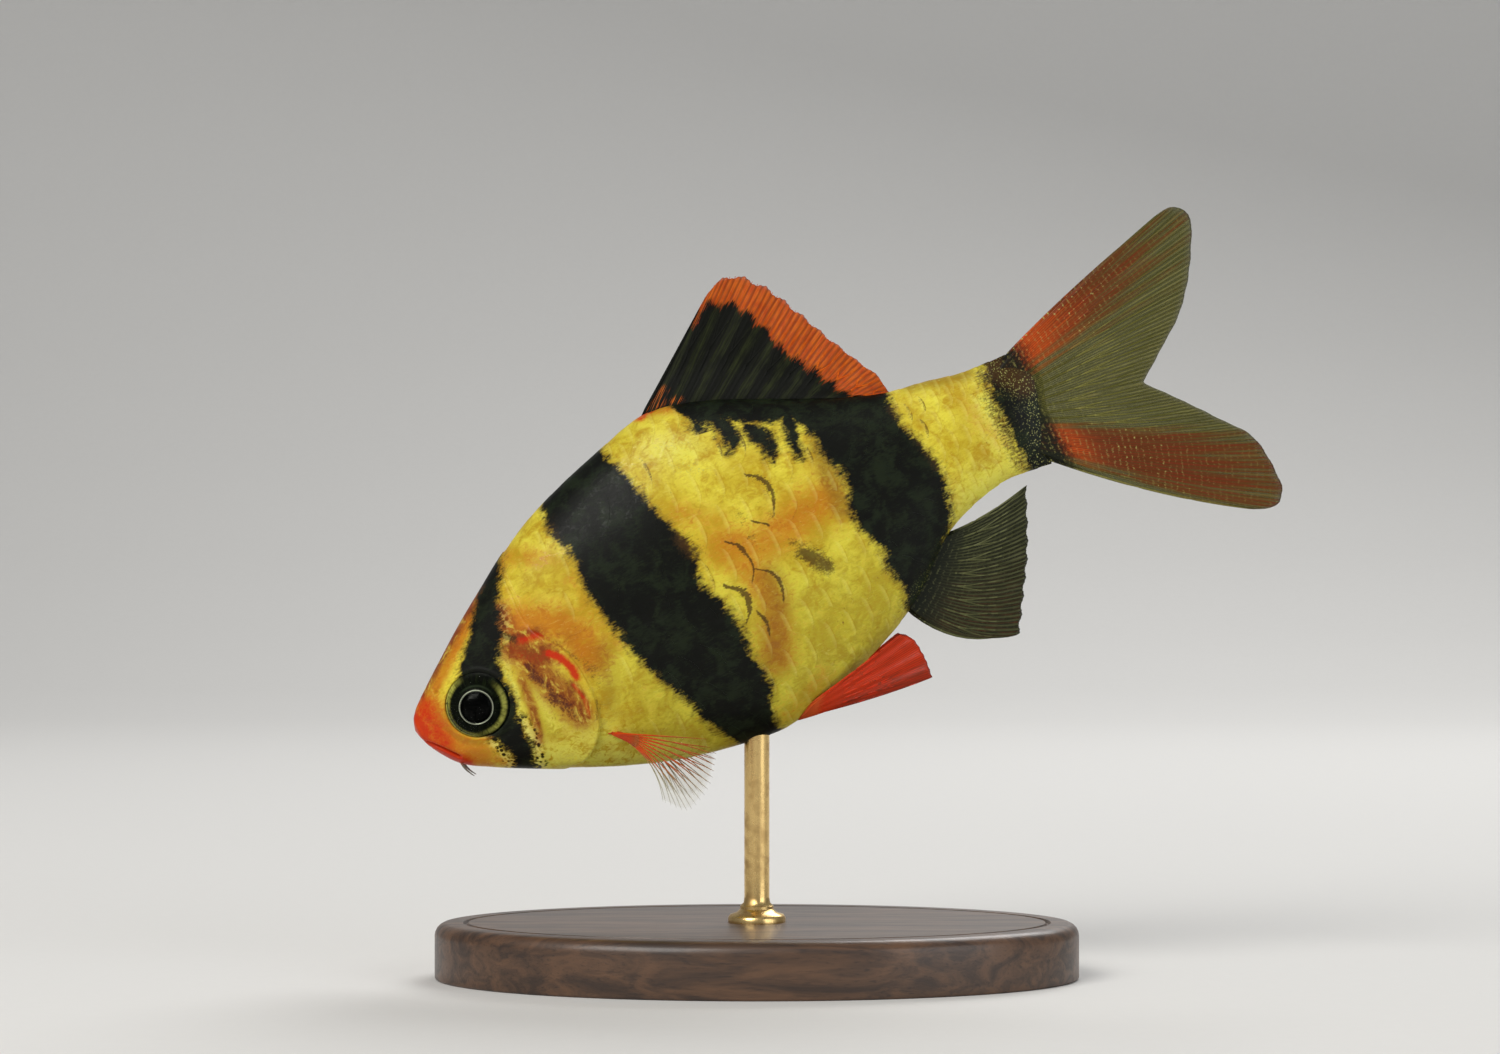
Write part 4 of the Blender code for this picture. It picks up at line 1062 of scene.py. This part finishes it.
set_out("barbels", barbels, feeler, "barbel", "barbel_left", "barbel_right")


# The dorsal fin: branched rays of resin with a thin web between them, cast as one blade and let
# into the back. It is black with a bright orange margin, and the black runs out along the rays.
ROOT_OFF = -0.15
DORSAL_ROOT = (24.1, 39.0)
DORSAL_TIPS = [
    (31.9, 18.9), (32.6, 19.3), (33.3, 19.5), (34.2, 19.4), (35.7, 18.05), (37.4, 14.95),
    (38.6, 12.3), (39.8, 9.9), (40.6, 8.3), (40.75, 7.08),
]
DORSAL_BOW, DORSAL_RAYS, DORSAL_PLEAT = (0.0, 0.2, 0.0), 11, 0.12
DORSAL_BLACK = [  # the outline of the black, as (station, up)
    (22.0, 16.0), (28.5, 19.0), (29.88, 17.43), (31.52, 18.4), (32.62, 17.89), (33.4, 17.37),
    (34.07, 16.27), (34.54, 15.26), (35.1, 13.42), (35.39, 12.34), (36.3, 11.3), (36.79, 10.27),
    (37.46, 9.17), (38.2, 7.9), (39.5, 6.0), (22.0, 5.0), (22.0, 16.0),
]
EMBER_STROKES = [  # the orange that licks up the foot of the first rays
    (0.45, 1.0, [(24.5, 13.4), (25.2, 14.5)]),
    (0.5, 0.85, [(25.2, 13.5), (26.2, 14.0)]),
    (0.42, 0.8, [(24.8, 13.3), (27.0, 12.9)]),
]
MARGIN_DEEP, MARGIN_BRIGHT, MARGIN_GAP = (0.46, 0.045, 0.002), (0.64, 0.135, 0.006), (0.20, 0.042, 0.006)
SAIL_BLACK, SAIL_OLIVE, EMBER_ORANGE = (0.003, 0.0035, 0.002), (0.026, 0.032, 0.009), (0.56, 0.12, 0.010)
WEB_EDGE, WEB_FOOT, WEB_THINNED, RIPPLE, KEEP_IN = 0.03, 0.01, 0.35, 0.3, 0.006
RAY_TIP, RAY_OVERLAP, FIRST_RAY, FORK_APART = 0.985, 0.012, 1.15, 0.25
FORK_SPREAD, FORK_STEP, RAY_RINGS, RAY_SIDES = 0.055, 7.3, 9, 6
WEB_DEEPER, FINE_RAYS = 0.01, 4


def along(points):
    """A smooth line through points, read by the share of its length."""
    points = np.array(points, float)
    lengths = np.concatenate([[0.0], np.cumsum(np.linalg.norm(np.diff(points, axis=0), axis=1))])
    return lambda share: np.stack(
        [smooth(share * lengths[-1], lengths, points[:, k]) for k in range(3)], -1
    )


def flat_line(points):
    return along([(x, 0.0, z) for x, z in points])


def off_line(line, ends, side):
    """The line of a fin's root, sunk a little into the back (side 1) or the belly (side -1)."""
    def place(share):
        x = ends[0] + (ends[1] - ends[0]) * share
        slope = (line(x + 0.2) - line(x - 0.2)) / 0.4
        size = np.hypot(slope, 1.0)
        return np.stack([x - side * slope / size * ROOT_OFF, 0 * x, line(x) + side / size * ROOT_OFF], -1)

    return place


def spread(roots, tips, bow, rays, pleat, late=0.0):
    """The middle surface of a fin: share runs from the first ray to the last, down to the tips.

    A late fan keeps its rays together near the root.
    """
    def place(share, down):
        share, down = np.broadcast_arrays(np.asarray(share, float), np.asarray(down, float))
        inside, open_by = np.clip(share, 0.0, 1.0), np.clip(down, 0.02, 1.0) ** late
        fan_share = 0.5 + (inside - 0.5) * open_by
        start, end = roots(inside), tips(inside)
        start = start + (roots(fan_share) - start) * (late > 0)
        middle = tips(np.full_like(inside, 0.5))
        end = end + (middle - end) * (1 - open_by[..., None])
        bowed = (4 * down * (1 - down) * (1 - 0.6 * inside))[..., None] * np.array(bow)
        here = start + (end - start) * down[..., None] + bowed
        here[..., 1] += pleat * np.cos(np.pi * inside * (rays - 1)) * np.clip(down, 0.0, 1.0)
        return here

    return place


def outward(place, share, down):
    """The direction that a fin's surface faces."""
    across = place(share + 0.004, down) - place(share - 0.004, down)
    ahead = place(share, down + 0.01) - place(share, down - 0.01)
    normal = np.cross(ahead, across)
    return normal / np.maximum(np.linalg.norm(normal, axis=-1, keepdims=True), 1e-12)


def fin_marks(place, share, down, places, marks):
    """The share, the way down and the length from the root, and the marks that one fin adds."""
    length = np.linalg.norm(place(share, down) - place(share, 0 * down), axis=-1)
    own = marks(places) if marks else {}
    return {"share": share, "down": down, "length": length, **own}


def web(name, place, rays, columns, rows, root_half, half, notch, ripples, sunk, marks):
    """The web of a fin, a thin closed blade whose edge draws in between the rays' tips."""
    def form(u, v):
        share, face = np.where(v <= 0.5, 2 * v, 2 - 2 * v), np.where(v <= 0.5, 1.0, -1.0)
        wave = 0.5 - 0.5 * np.cos(math.tau * share * (rays - 1))
        ripple = 0.5 - 0.5 * np.cos(math.tau * share * (rays - 1) * ripples)
        down = -sunk + (1 + sunk) * u
        down = down * (1 - notch * (wave + RIPPLE * ripple) * np.clip(down, 0, 1) ** 4)
        thin = half + (root_half - half) * (1 - ease(down, 0.0, WEB_THINNED))
        thin = thin * np.sqrt(np.clip(np.minimum(share, 1 - share) / WEB_EDGE, 0, 1))
        thin = thin * np.sqrt(np.clip((1 - u) / WEB_EDGE, 0, 1)) * np.clip(u / WEB_FOOT, 0, 1)
        inner = np.clip(share, KEEP_IN, 1 - KEEP_IN)
        places = place(share, down) + (face * thin)[..., None] * outward(place, inner, down)
        return places, fin_marks(place, share, down, places, marks)

    return wrapped(name, columns, 2 * rows, form)


def fan(name, place, rays, forks, radii, sunk, marks):
    """The rays of a fin, each branched at its forks. radii are those at the root, forks and tip."""
    gap, pieces = 1 / (rays - 1), [(0.0, 0.0, -sunk, RAY_TIP, radii[0] * FIRST_RAY, radii[-1])]
    for i in range(1, rays):
        limbs, start = [(i * gap, i * gap)], -sunk
        sooner = FORK_SPREAD * math.sin(FORK_STEP * i)
        stops, apart = [fork + sooner for fork in forks] + [RAY_TIP], FORK_APART * gap
        for stop, thick, thin in zip(stops, radii, radii[1:]):
            pieces += [(a, b, start, stop, thick, thin) for a, b in limbs]
            ends = [b for _, b in limbs]
            limbs = [(b, min(max(b + turn * apart, 0.0), 1.0)) for b in ends for turn in (-1, 1)]
            start, apart = stop - RAY_OVERLAP, apart / 2
    s0, s1, d0, d1, r0, r1 = [column[:, None] for column in np.array(pieces).T]

    def share_of(t):
        return s0 + (s1 - s0) * ease(t, 0.0, 1.0)

    def down_of(t):
        return d0 + (d1 - d0) * t

    def path(t):
        return place(share_of(t), down_of(t))

    return strands(
        name, len(pieces), RAY_RINGS, RAY_SIDES, path,
        lambda t: r0 + (r1 - r0) * t,
        lambda t: outward(place, np.clip(share_of(t), KEEP_IN, 1 - KEEP_IN), down_of(t)),
        lambda t: fin_marks(place, share_of(t), down_of(t), path(t), marks),
        lambda t, turn: np.stack(
            [0.02 + 0.94 * share_of(t) + turn * 0.0004, 0.06 + 0.9 * down_of(t)], -1
        ),
    )


def lay_fin(name, place, rays, finishes, slot, nodes, blade, limbs, sunk, marks=None):
    """Makes the web and the rays of a fin, and sets each out in its own paint."""
    made = {
        "web": web(name + "_web", place, rays, sunk=sunk, marks=marks, **blade),
        "rays": fan(name + "_rays", place, rays, sunk=sunk - WEB_DEEPER, marks=marks, **limbs),
    }
    for kind, finish in zip(made, finishes):
        set_out(f"{name}_{kind}", made[kind], finish, slot, *(nodes if kind == "web" else ()))


def inside_depth(x, z, shape):
    """How deep points lie inside a closed outline, under 0 outside."""
    odd = np.zeros(np.shape(x), bool)
    for (x0, z0), (x1, z1) in zip(shape, shape[1:]):
        crosses = (z0 > z) != (z1 > z)
        at = x0 + (z - z0) * (x1 - x0) / (z1 - z0 if z1 != z0 else 1.0)
        odd ^= crosses & (x < at)
    return from_line(x, z, shape) * np.where(odd, 1.0, -1.0)


def dorsal_marks(places):
    x, z = places[..., 0], places[..., 2]
    return {"black": inside_depth(x, z, DORSAL_BLACK), "ember": strokes(x, z, EMBER_STROKES)}


def ray_comb(hand, share, rays, times=1):
    """A wave along a fin that is highest on its rays, or so many times from one to the next."""
    return hand.math("COSINE", share * (math.tau * (rays - 1) * times))


def ray_streaks(hand, share, down, across, lengthwise):
    """Noise that is drawn out along a fin's rays."""
    where = hand.node("CombineXYZ", {}, {0: share * across, 1: down * lengthwise, 2: 0.0})
    return hand.noise(where, 1.0, 4.0, 0.65)


def dorsal_paint(name, webbed):
    finish, hand = new_finish(name, {"Specular IOR Level": 0.1})
    share, down, ember = hand.mark("share"), hand.mark("down"), hand.mark("ember")
    comb, fine = ray_comb(hand, share, DORSAL_RAYS), ray_comb(hand, share, DORSAL_RAYS, FINE_RAYS)
    streak = ray_streaks(hand, share, down, 130.0, 4.0)
    cloud = hand.noise(fish_place(hand), 1.1, 3.0)
    ragged = hand.mark("black") + comb * 0.14 + fine * 0.08 + (streak - 0.5) * 1.9 + (cloud - 0.5) * 0.9
    gaps = (1 - (fine + (streak - 0.5) * 2.0).rise(-1.0, 0.6)) * 0.7
    margin = [(MARGIN_BRIGHT, (streak + cloud * 0.5).rise(0.5, 1.0)), (MARGIN_GAP, gaps)]
    orange = hand.paint(MARGIN_DEEP, *(margin if webbed else margin[:1]))
    lit = (cloud * 0.2 + streak * 0.8 - comb * 0.12).rise(0.45, 0.85)
    night = hand.paint(SAIL_BLACK, (SAIL_OLIVE, lit))
    ember = ember.rise(0.1, 0.6) * (ember * 0.6 + (streak - 0.5) * 3.6).rise(0.4, 1.0) * 0.9
    feeds = {
        "Base Color": hand.paint(orange, (night, ragged.rise(-0.22, 0.22)), (EMBER_ORANGE, ember)),
        "Roughness": 0.42 + streak * 0.25,
        "Normal": hand.bump(streak + fine * 0.15, 0.00008, 0.5),
    }
    if webbed:
        feeds["Alpha"] = (0.86 + 0.14 * ragged.rise(-0.3, 0.1)) * (1 - down.rise(0.95, 1.0) * 0.3)
    lay_on(finish, feeds)
    return finish


dorsal_roots = off_line(back, DORSAL_ROOT, 1)
dorsal = spread(dorsal_roots, flat_line(DORSAL_TIPS), DORSAL_BOW, DORSAL_RAYS, DORSAL_PLEAT)
dorsal_paints = [dorsal_paint("dorsal_web_paint", True), dorsal_paint("dorsal_rays_paint", False)]
lay_fin(
    "dorsal", dorsal, DORSAL_RAYS, dorsal_paints, "dorsal_fin", ["dorsal_fin"],
    blade={"columns": 70, "rows": 176, "root_half": 0.34, "half": 0.05, "notch": 0.028, "ripples": 4},
    limbs={"forks": (0.4, 0.66), "radii": (0.16, 0.1, 0.065, 0.03)}, sunk=0.07, marks=dorsal_marks,
)


# The anal fin: the same branched rays and web, let into the belly in front of the tail's stem. It
# is smoky and clear, with black at its root and pale joints along the rays.
ANAL_ROOT, ANAL_BOW, ANAL_RAYS, ANAL_PLEAT, JOINT = (35.5, 40.25), (-0.45, 0.2, -0.75), 10, 0.06, 0.45
ANAL_TIPS = [
    (40.7, -12.15), (41.9, -12.5), (42.4, -11.8), (43.3, -10.3), (44.9, -7.6), (46.1, -5.0), (46.9, -3.1)
]
SMOKE, SMOKE_PALE = (0.014, 0.016, 0.005), (0.26, 0.27, 0.11)
NIGHT, SMOKE_STAIN = (0.006, 0.008, 0.004), (0.010, 0.012, 0.005)


def clear_paint(name, webbed, rays, root, root_reach, tint, pale, see, ticks, stained):
    """The paint of a clear fin. stained gives its colour where it is stained, and how strongly."""
    finish, hand = new_finish(name, {"Specular IOR Level": 0.12, "Coat Weight": 0.04})
    share, down = hand.mark("share"), hand.mark("down")
    fine = ray_comb(hand, share, rays, FINE_RAYS)
    streak = ray_streaks(hand, share, down, 14.0 * rays, 5.0)
    fleck = hand.noise(fish_place(hand), 5.0, 2.0, 0.6)
    stain, cover = stained(hand, share, down, streak, webbed)
    dark = (1 - (down + (fleck - 0.5) * 0.12).rise(0.02, root_reach)) * (streak + 0.45).rise(0.5, 0.95)
    solid = cover.most(dark)
    wave = hand.math("COSINE", hand.mark("length") * (math.tau / JOINT) + streak * 9.0)
    shown = 0.55 - down.rise(0.1, 0.7) * 0.4 + solid * 0.5
    worn = (RUST, (1 - fine.rise(-1.0, 0.7)) * cover * 0.6)
    colour = hand.paint(
        tint,
        (pale, (streak + fine * 0.16).rise(0.4, 0.9) * 0.34),
        *([] if webbed else [(pale, 0.16 + streak * 0.2)]),
        (stain, cover),
        *([worn] if webbed else []),
        (root, dark),
        (pale, wave.rise(0.5, 0.95) * fleck.rise(0.46, 0.64) * shown * ticks),
    )
    feeds = {
        "Base Color": colour,
        "Alpha": see + (1.0 - see) * solid - down.rise(0.94, 1.0) * 0.12,
        "Roughness": 0.3 + streak * 0.2,
        "Normal": hand.bump(streak, 0.00005, 0.4),
    }
    lay_on(finish, feeds)
    return finish


def clear_paints(name, see, ticks, **paint):
    """The paints of a clear fin's web and rays. see is how solid each is, ticks how jointed."""
    return [
        clear_paint(f"{name}_{kind}_paint", kind == "web", see=solid, ticks=tick, **paint)
        for kind, solid, tick in zip(("web", "rays"), see, ticks)
    ]


def anal_stain(hand, share, down, streak, webbed):
    """Smoke along the front rays and over the root."""
    return SMOKE_STAIN, (streak - 0.1).rise(0.25, 0.75) * (1 - share.rise(0.1, 0.8)) * 0.7


anal_paints = clear_paints(
    "anal", see=(0.93, 0.96), ticks=(0.21, 0.6), rays=ANAL_RAYS, root=NIGHT, root_reach=0.45,
    tint=SMOKE, pale=SMOKE_PALE, stained=anal_stain,
)
anal = spread(off_line(belly, ANAL_ROOT, -1), flat_line(ANAL_TIPS), ANAL_BOW, ANAL_RAYS, ANAL_PLEAT)
lay_fin(
    "anal", anal, ANAL_RAYS, anal_paints, "clear_fin", ["anal_fin"],
    blade={"columns": 60, "rows": 144, "root_half": 0.3, "half": 0.04, "notch": 0.02, "ripples": 4},
    limbs={"forks": (0.36, 0.64), "radii": (0.13, 0.085, 0.055, 0.025)}, sunk=0.07,
)


# The tail fin: two lobes of long rays that branch twice, in one web with a deep fork, grown from the
# fleshy end of the tail's stem. It is clear olive, stained red along the outer rays of each lobe.
TAIL_ROOT_TOP, TAIL_ROOT_BOTTOM, TAIL_ROOT_X = 5.92, -2.55, 49.6
UPPER_TIPS = [
    (63.1, 10.28), (64.0, 10.6), (64.8, 10.6), (65.5, 10.2), (65.75, 9.4), (65.1, 7.72), (63.76, 5.42),
    (62.12, 3.42), (60.03, 1.8), (57.65, 0.05),
]
LOWER_TIPS = [
    (61.0, -11.6), (62.1, -12.0), (62.95, -11.9), (63.45, -11.3), (63.6, -9.48), (63.21, -6.93),
    (61.41, -4.52), (59.66, -2.36), (57.65, -0.05),
]
UPPER_BOW, LOWER_BOW = np.array((0.0, 0.35, 0.25)), np.array((0.0, 0.25, -0.5))
TAIL_RAYS, TAIL_PLEAT, FORK_BLEND, FORK_FLAT = 21, 0.07, (0.35, 0.65), 0.6
OLIVE, OLIVE_PALE = (0.062, 0.060, 0.008), (0.40, 0.37, 0.11)
TAIL_RED, TAIL_BROWN = (0.54, 0.072, 0.005), (0.105, 0.028, 0.005)


def tail_place(share, down):
    """The tail's surface: share runs from the upper edge through the fork at a half to the lower."""
    share, down = np.broadcast_arrays(np.asarray(share, float), np.asarray(down, float))
    inside = np.clip(share, 0.0, 1.0)
    z = TAIL_ROOT_TOP + (TAIL_ROOT_BOTTOM - TAIL_ROOT_TOP) * inside
    start = np.stack([TAIL_ROOT_X + 0 * z, 0 * z, z], -1)
    upper = flat_line(UPPER_TIPS)(np.minimum(2 * inside, 1.0))
    lower = flat_line(LOWER_TIPS)(np.minimum(2 - 2 * inside, 1.0))
    end = np.where((inside <= 0.5)[..., None], upper, lower)
    low = ease(inside, *FORK_BLEND)[..., None]
    outer = 1 - FORK_FLAT * (1 - np.abs(2 * inside - 1))
    bow = (UPPER_BOW * (1 - low) + LOWER_BOW * low) * outer[..., None]
    here = start + (end - start) * down[..., None] + (4 * down * (1 - down))[..., None] * bow
    here[..., 1] += TAIL_PLEAT * np.cos(np.pi * inside * (TAIL_RAYS - 1)) * np.clip(down, 0.0, 1.0)
    return here


def tail_stain(hand, share, down, streak, webbed):
    """Red along the outer rays, brown and thin towards the tips."""
    upper = (1 - share.rise(0.08, 0.36)) * (1 - down.rise(0.35, 1.0) * 0.7)
    away = hand.math("ABSOLUTE", share - 0.78 - down * 0.1)
    lower = (1 - away.rise(0.05, 0.23)) * (1 - down.rise(0.4, 1.0) * 0.4)
    comb = ray_comb(hand, share, TAIL_RAYS)
    cover = (upper.most(lower) + (streak - 0.5) * 1.7 + comb * 0.14).rise(0.2, 1.0)
    age = (down * (1 + share.rise(0.5, 0.7) * 0.8) + (streak - 0.5) * 1.1).rise(0.02, 0.5)
    return hand.paint(TAIL_RED, (TAIL_BROWN, age)), cover


tail_paints = clear_paints(
    "tail", see=(0.8, 0.88), ticks=(0.35, 1.0), rays=TAIL_RAYS, root=NIGHT, root_reach=0.13,
    tint=OLIVE, pale=OLIVE_PALE, stained=tail_stain,
)
lay_fin(
    "tail", tail_place, TAIL_RAYS, tail_paints, "clear_fin", ["tail_fin_upper", "tail_fin_lower"],
    blade={"columns": 90, "rows": 320, "root_half": 0.36, "half": 0.045, "notch": 0.004, "ripples": 4},
    limbs={"forks": (0.34, 0.62), "radii": (0.13, 0.075, 0.05, 0.022)}, sunk=0.1,
)


# The pelvic fins: a pair folded back under the belly, each a small fan of rays in an opaque web.
# They are painted a bright red, with dark streaks between the rays.
PELVIC_FRONT, PELVIC_REAR = (25.8, -11.25), (26.9, -10.5)
PELVIC_TIPS = [(34.9, 2.9, -12.55), (35.0, 2.7, -10.8), (34.7, 2.55, -9.35), (34.1, 2.5, -8.85)]
PELVIC_BOW, PELVIC_RAYS, PELVIC_OFF, PELVIC_PLEAT = (0.0, 0.2, -0.15), 8, 0.1, 0.06
PELVIC_RED, PELVIC_BRIGHT, PELVIC_STREAK = (0.50, 0.024, 0.004), (0.62, 0.055, 0.005), (0.10, 0.014, 0.006)
PELVIC_PALE, PELVIC_ROOT = (0.62, 0.20, 0.06), (0.48, 0.07, 0.015)


def paired(front, rear, off, tips, bow, rays, pleat, side, late=0.0):
    """The surface of one of a pair of fins, grown from a short line on the flank."""
    def roots(share):
        x, z = front[0] + (rear[0] - front[0]) * share, front[1] + (rear[1] - front[1]) * share
        return on_body(x, height_at(x, z), side, off + 0 * x)

    tip_line = along([(x, side * y, z) for x, y, z in tips])
    return spread(roots, tip_line, (bow[0], side * bow[1], bow[2]), rays, pleat, late)


def pelvic_stain(hand, share, down, streak, webbed):
    """Bright red all over, with dark streaks that run out to the edge."""
    streaks = (streak + (1 - share.rise(0.0, 0.5)) * 0.12).rise(0.5, 0.64) * down.rise(0.05, 0.35)
    bright = (PELVIC_BRIGHT, streak.rise(0.4, 0.7))
    return hand.paint(PELVIC_RED, bright, (PELVIC_STREAK, streaks * 0.8)), 1.0 - down.rise(0.93, 1.0) * 0.25


pelvic_paints = clear_paints(
    "pelvic", see=(0.9, 0.95), ticks=(0.0, 0.0), rays=PELVIC_RAYS, root=PELVIC_ROOT, root_reach=0.12,
    tint=RED, pale=PELVIC_PALE, stained=pelvic_stain,
)
for word, side in SIDES:
    pelvic = paired(
        PELVIC_FRONT, PELVIC_REAR, PELVIC_OFF, PELVIC_TIPS, PELVIC_BOW, PELVIC_RAYS, PELVIC_PLEAT, side
    )
    lay_fin(
        f"pelvic_{word}", pelvic, PELVIC_RAYS, pelvic_paints, "pelvic_fin", [f"pelvic_fin_{word}"],
        blade={"columns": 60, "rows": 96, "root_half": 0.3, "half": 0.05, "notch": 0.005, "ripples": 4},
        limbs={"forks": (0.42, 0.7), "radii": (0.11, 0.08, 0.055, 0.025)}, sunk=0.1,
    )


# The pectoral fins: a pair held out and down behind the gills, each a fan of rays on a short stalk.
# The web is clear, and the stalk and the rays near it are stained red and brown.
PECTORAL_TOP, PECTORAL_LOW = (12.9, -6.25), (12.75, -6.95)
PECTORAL_TIPS = [
    (18.8, 6.3, -9.7), (18.5, 7.2, -11.6), (17.2, 7.6, -13.0), (15.5, 7.2, -13.7), (14.0, 6.1, -12.4)
]
PECTORAL_BOW, PECTORAL_RAYS, PECTORAL_OFF, PECTORAL_PLEAT = (0.35, 0.7, 0.75), 10, 0.05, 0.05
PECTORAL_LATE = 0.9
STALK_RED, STALK_STAIN, RAY_BROWN = (0.58, 0.06, 0.012), (0.55, 0.055, 0.010), (0.36, 0.07, 0.012)
RAY_RED, STRAW, STRAW_PALE = (0.58, 0.06, 0.006), (0.26, 0.22, 0.05), (0.42, 0.38, 0.14)


def pectoral_stain(hand, share, down, streak, webbed):
    """A red stalk, and rays that run out brown, farthest along the upper ones."""
    if webbed:
        return STALK_STAIN, 1 - down.rise(0.16, 0.34)
    reach = 1.5 - share * 0.8
    cover = (1 - (down - reach).rise(-0.5, 0.0)) * (streak + 0.5).rise(0.4, 0.85)
    return hand.paint(RAY_RED, (RAY_BROWN, down.rise(0.25, 0.75))), cover


pectoral_paints = clear_paints(
    "pectoral", see=(0.06, 0.32), ticks=(0.0, 0.3), rays=PECTORAL_RAYS, root=STALK_RED, root_reach=0.12,
    tint=STRAW, pale=STRAW_PALE, stained=pectoral_stain,
)
for word, side in SIDES:
    pectoral = paired(
        PECTORAL_TOP, PECTORAL_LOW, PECTORAL_OFF, PECTORAL_TIPS, PECTORAL_BOW, PECTORAL_RAYS,
        PECTORAL_PLEAT, side, PECTORAL_LATE,
    )
    lay_fin(
        f"pectoral_{word}", pectoral, PECTORAL_RAYS, pectoral_paints, "clear_fin", [f"pectoral_fin_{word}"],
        blade={"columns": 60, "rows": 120, "root_half": 0.24, "half": 0.03, "notch": 0.03, "ripples": 2},
        limbs={"forks": (0.55,), "radii": (0.075, 0.06, 0.02)}, sunk=0.1,
    )


# The floor and light: one sheet of plain pale paper, laid flat under the plate and curved up behind
# it, lit by three soft square lamps in a pale room. The camera stands where the picture was taken.
CAMERA_X, CAMERA_Z, CAMERA_AWAY, CAMERA_LENS, CAMERA_FILM = -7.20, 32.2, 297.6, 100.0, 36.0
PAPER, PAPER_TOOTH = (0.72, 0.71, 0.69), (0.66, 0.65, 0.63)
PAPER_WIDE, PAPER_FRONT, PAPER_BEND, PAPER_RADIUS, PAPER_HIGH = 4.0, -1.0, 0.4, 0.35, 1.2
FLAT_END, TURN_END, PAPER_STEPS = 0.6, 0.8, 60
LAMPS = [  # each lamp's name, place, width, power and colour
    ("key_lamp", (-0.28, -0.42, 0.42), 0.35, 3.0, (1.0, 0.98, 0.94)),
    ("fill_lamp", (0.45, -0.35, 0.18), 0.4, 1.0, (0.95, 0.98, 1.0)),
    ("back_lamp", (0.15, 0.35, 0.4), 0.3, 1.5, (1.0, 1.0, 1.0)),
]
LAMP_TARGET = (0.0, 0.0, 0.03)
ROOM_COLOUR, ROOM_STRENGTH = (0.9, 0.92, 0.95, 1.0), 0.26

bm = bmesh.new()
bmesh.ops.create_grid(bm, x_segments=2, y_segments=PAPER_STEPS, size=0.5)
for vertex in bm.verts:
    share = vertex.co.y + 0.5
    turned_by = min(max((share - FLAT_END) / (TURN_END - FLAT_END), 0.0), 1.0) * math.pi / 2
    flat_share, high_share = min(share / FLAT_END, 1.0), max(share - TURN_END, 0.0) / (1 - TURN_END)
    y = PAPER_FRONT + (PAPER_BEND - PAPER_FRONT) * flat_share + PAPER_RADIUS * math.sin(turned_by)
    z = PAPER_RADIUS * (1 - math.cos(turned_by)) + PAPER_HIGH * high_share
    vertex.co = (vertex.co.x * PAPER_WIDE, y, z)
bmesh.ops.recalc_face_normals(bm, faces=bm.faces)
sweep_mesh = new_mesh("paper_sweep", bm)
sweep_mesh.shade_smooth()
paper, hand = new_finish("paper", {"Roughness": 0.9, "Specular IOR Level": 0.2})
tooth = hand.noise(hand.place(), 800.0, 3.0)
lay_on(paper, {"Base Color": hand.paint(PAPER, (PAPER_TOOTH, tooth * 0.3))})
sweep_mesh.materials.append(paper)
new_object("paper_sweep", sweep_mesh)

for name, place, width, power, colour in LAMPS:
    light = bpy.data.lights.new(name, "AREA")
    light.shape, light.size, light.energy, light.color = "SQUARE", width, power, colour
    stand = new_object(name, light)
    stand.location = place
    stand.rotation_euler = (Vector(LAMP_TARGET) - Vector(place)).to_track_quat("-Z", "Y").to_euler()

room = bpy.data.worlds.new("pale_room")
bpy.context.scene.world = room
room.use_nodes = True
room.node_tree.nodes["Background"].inputs["Color"].default_value = ROOM_COLOUR
room.node_tree.nodes["Background"].inputs["Strength"].default_value = ROOM_STRENGTH
bpy.context.scene.view_settings.view_transform = "Standard"

camera = bpy.data.cameras.new("camera")
camera.lens, camera.sensor_width, camera.clip_start = CAMERA_LENS, CAMERA_FILM, 0.01
tripod = new_object("camera", camera)
tripod.location = (CAMERA_X * MM, -CAMERA_AWAY * MM, CAMERA_Z * MM)
tripod.rotation_euler = (math.pi / 2, 0.0, 0.0)
bpy.context.scene.camera = tripod
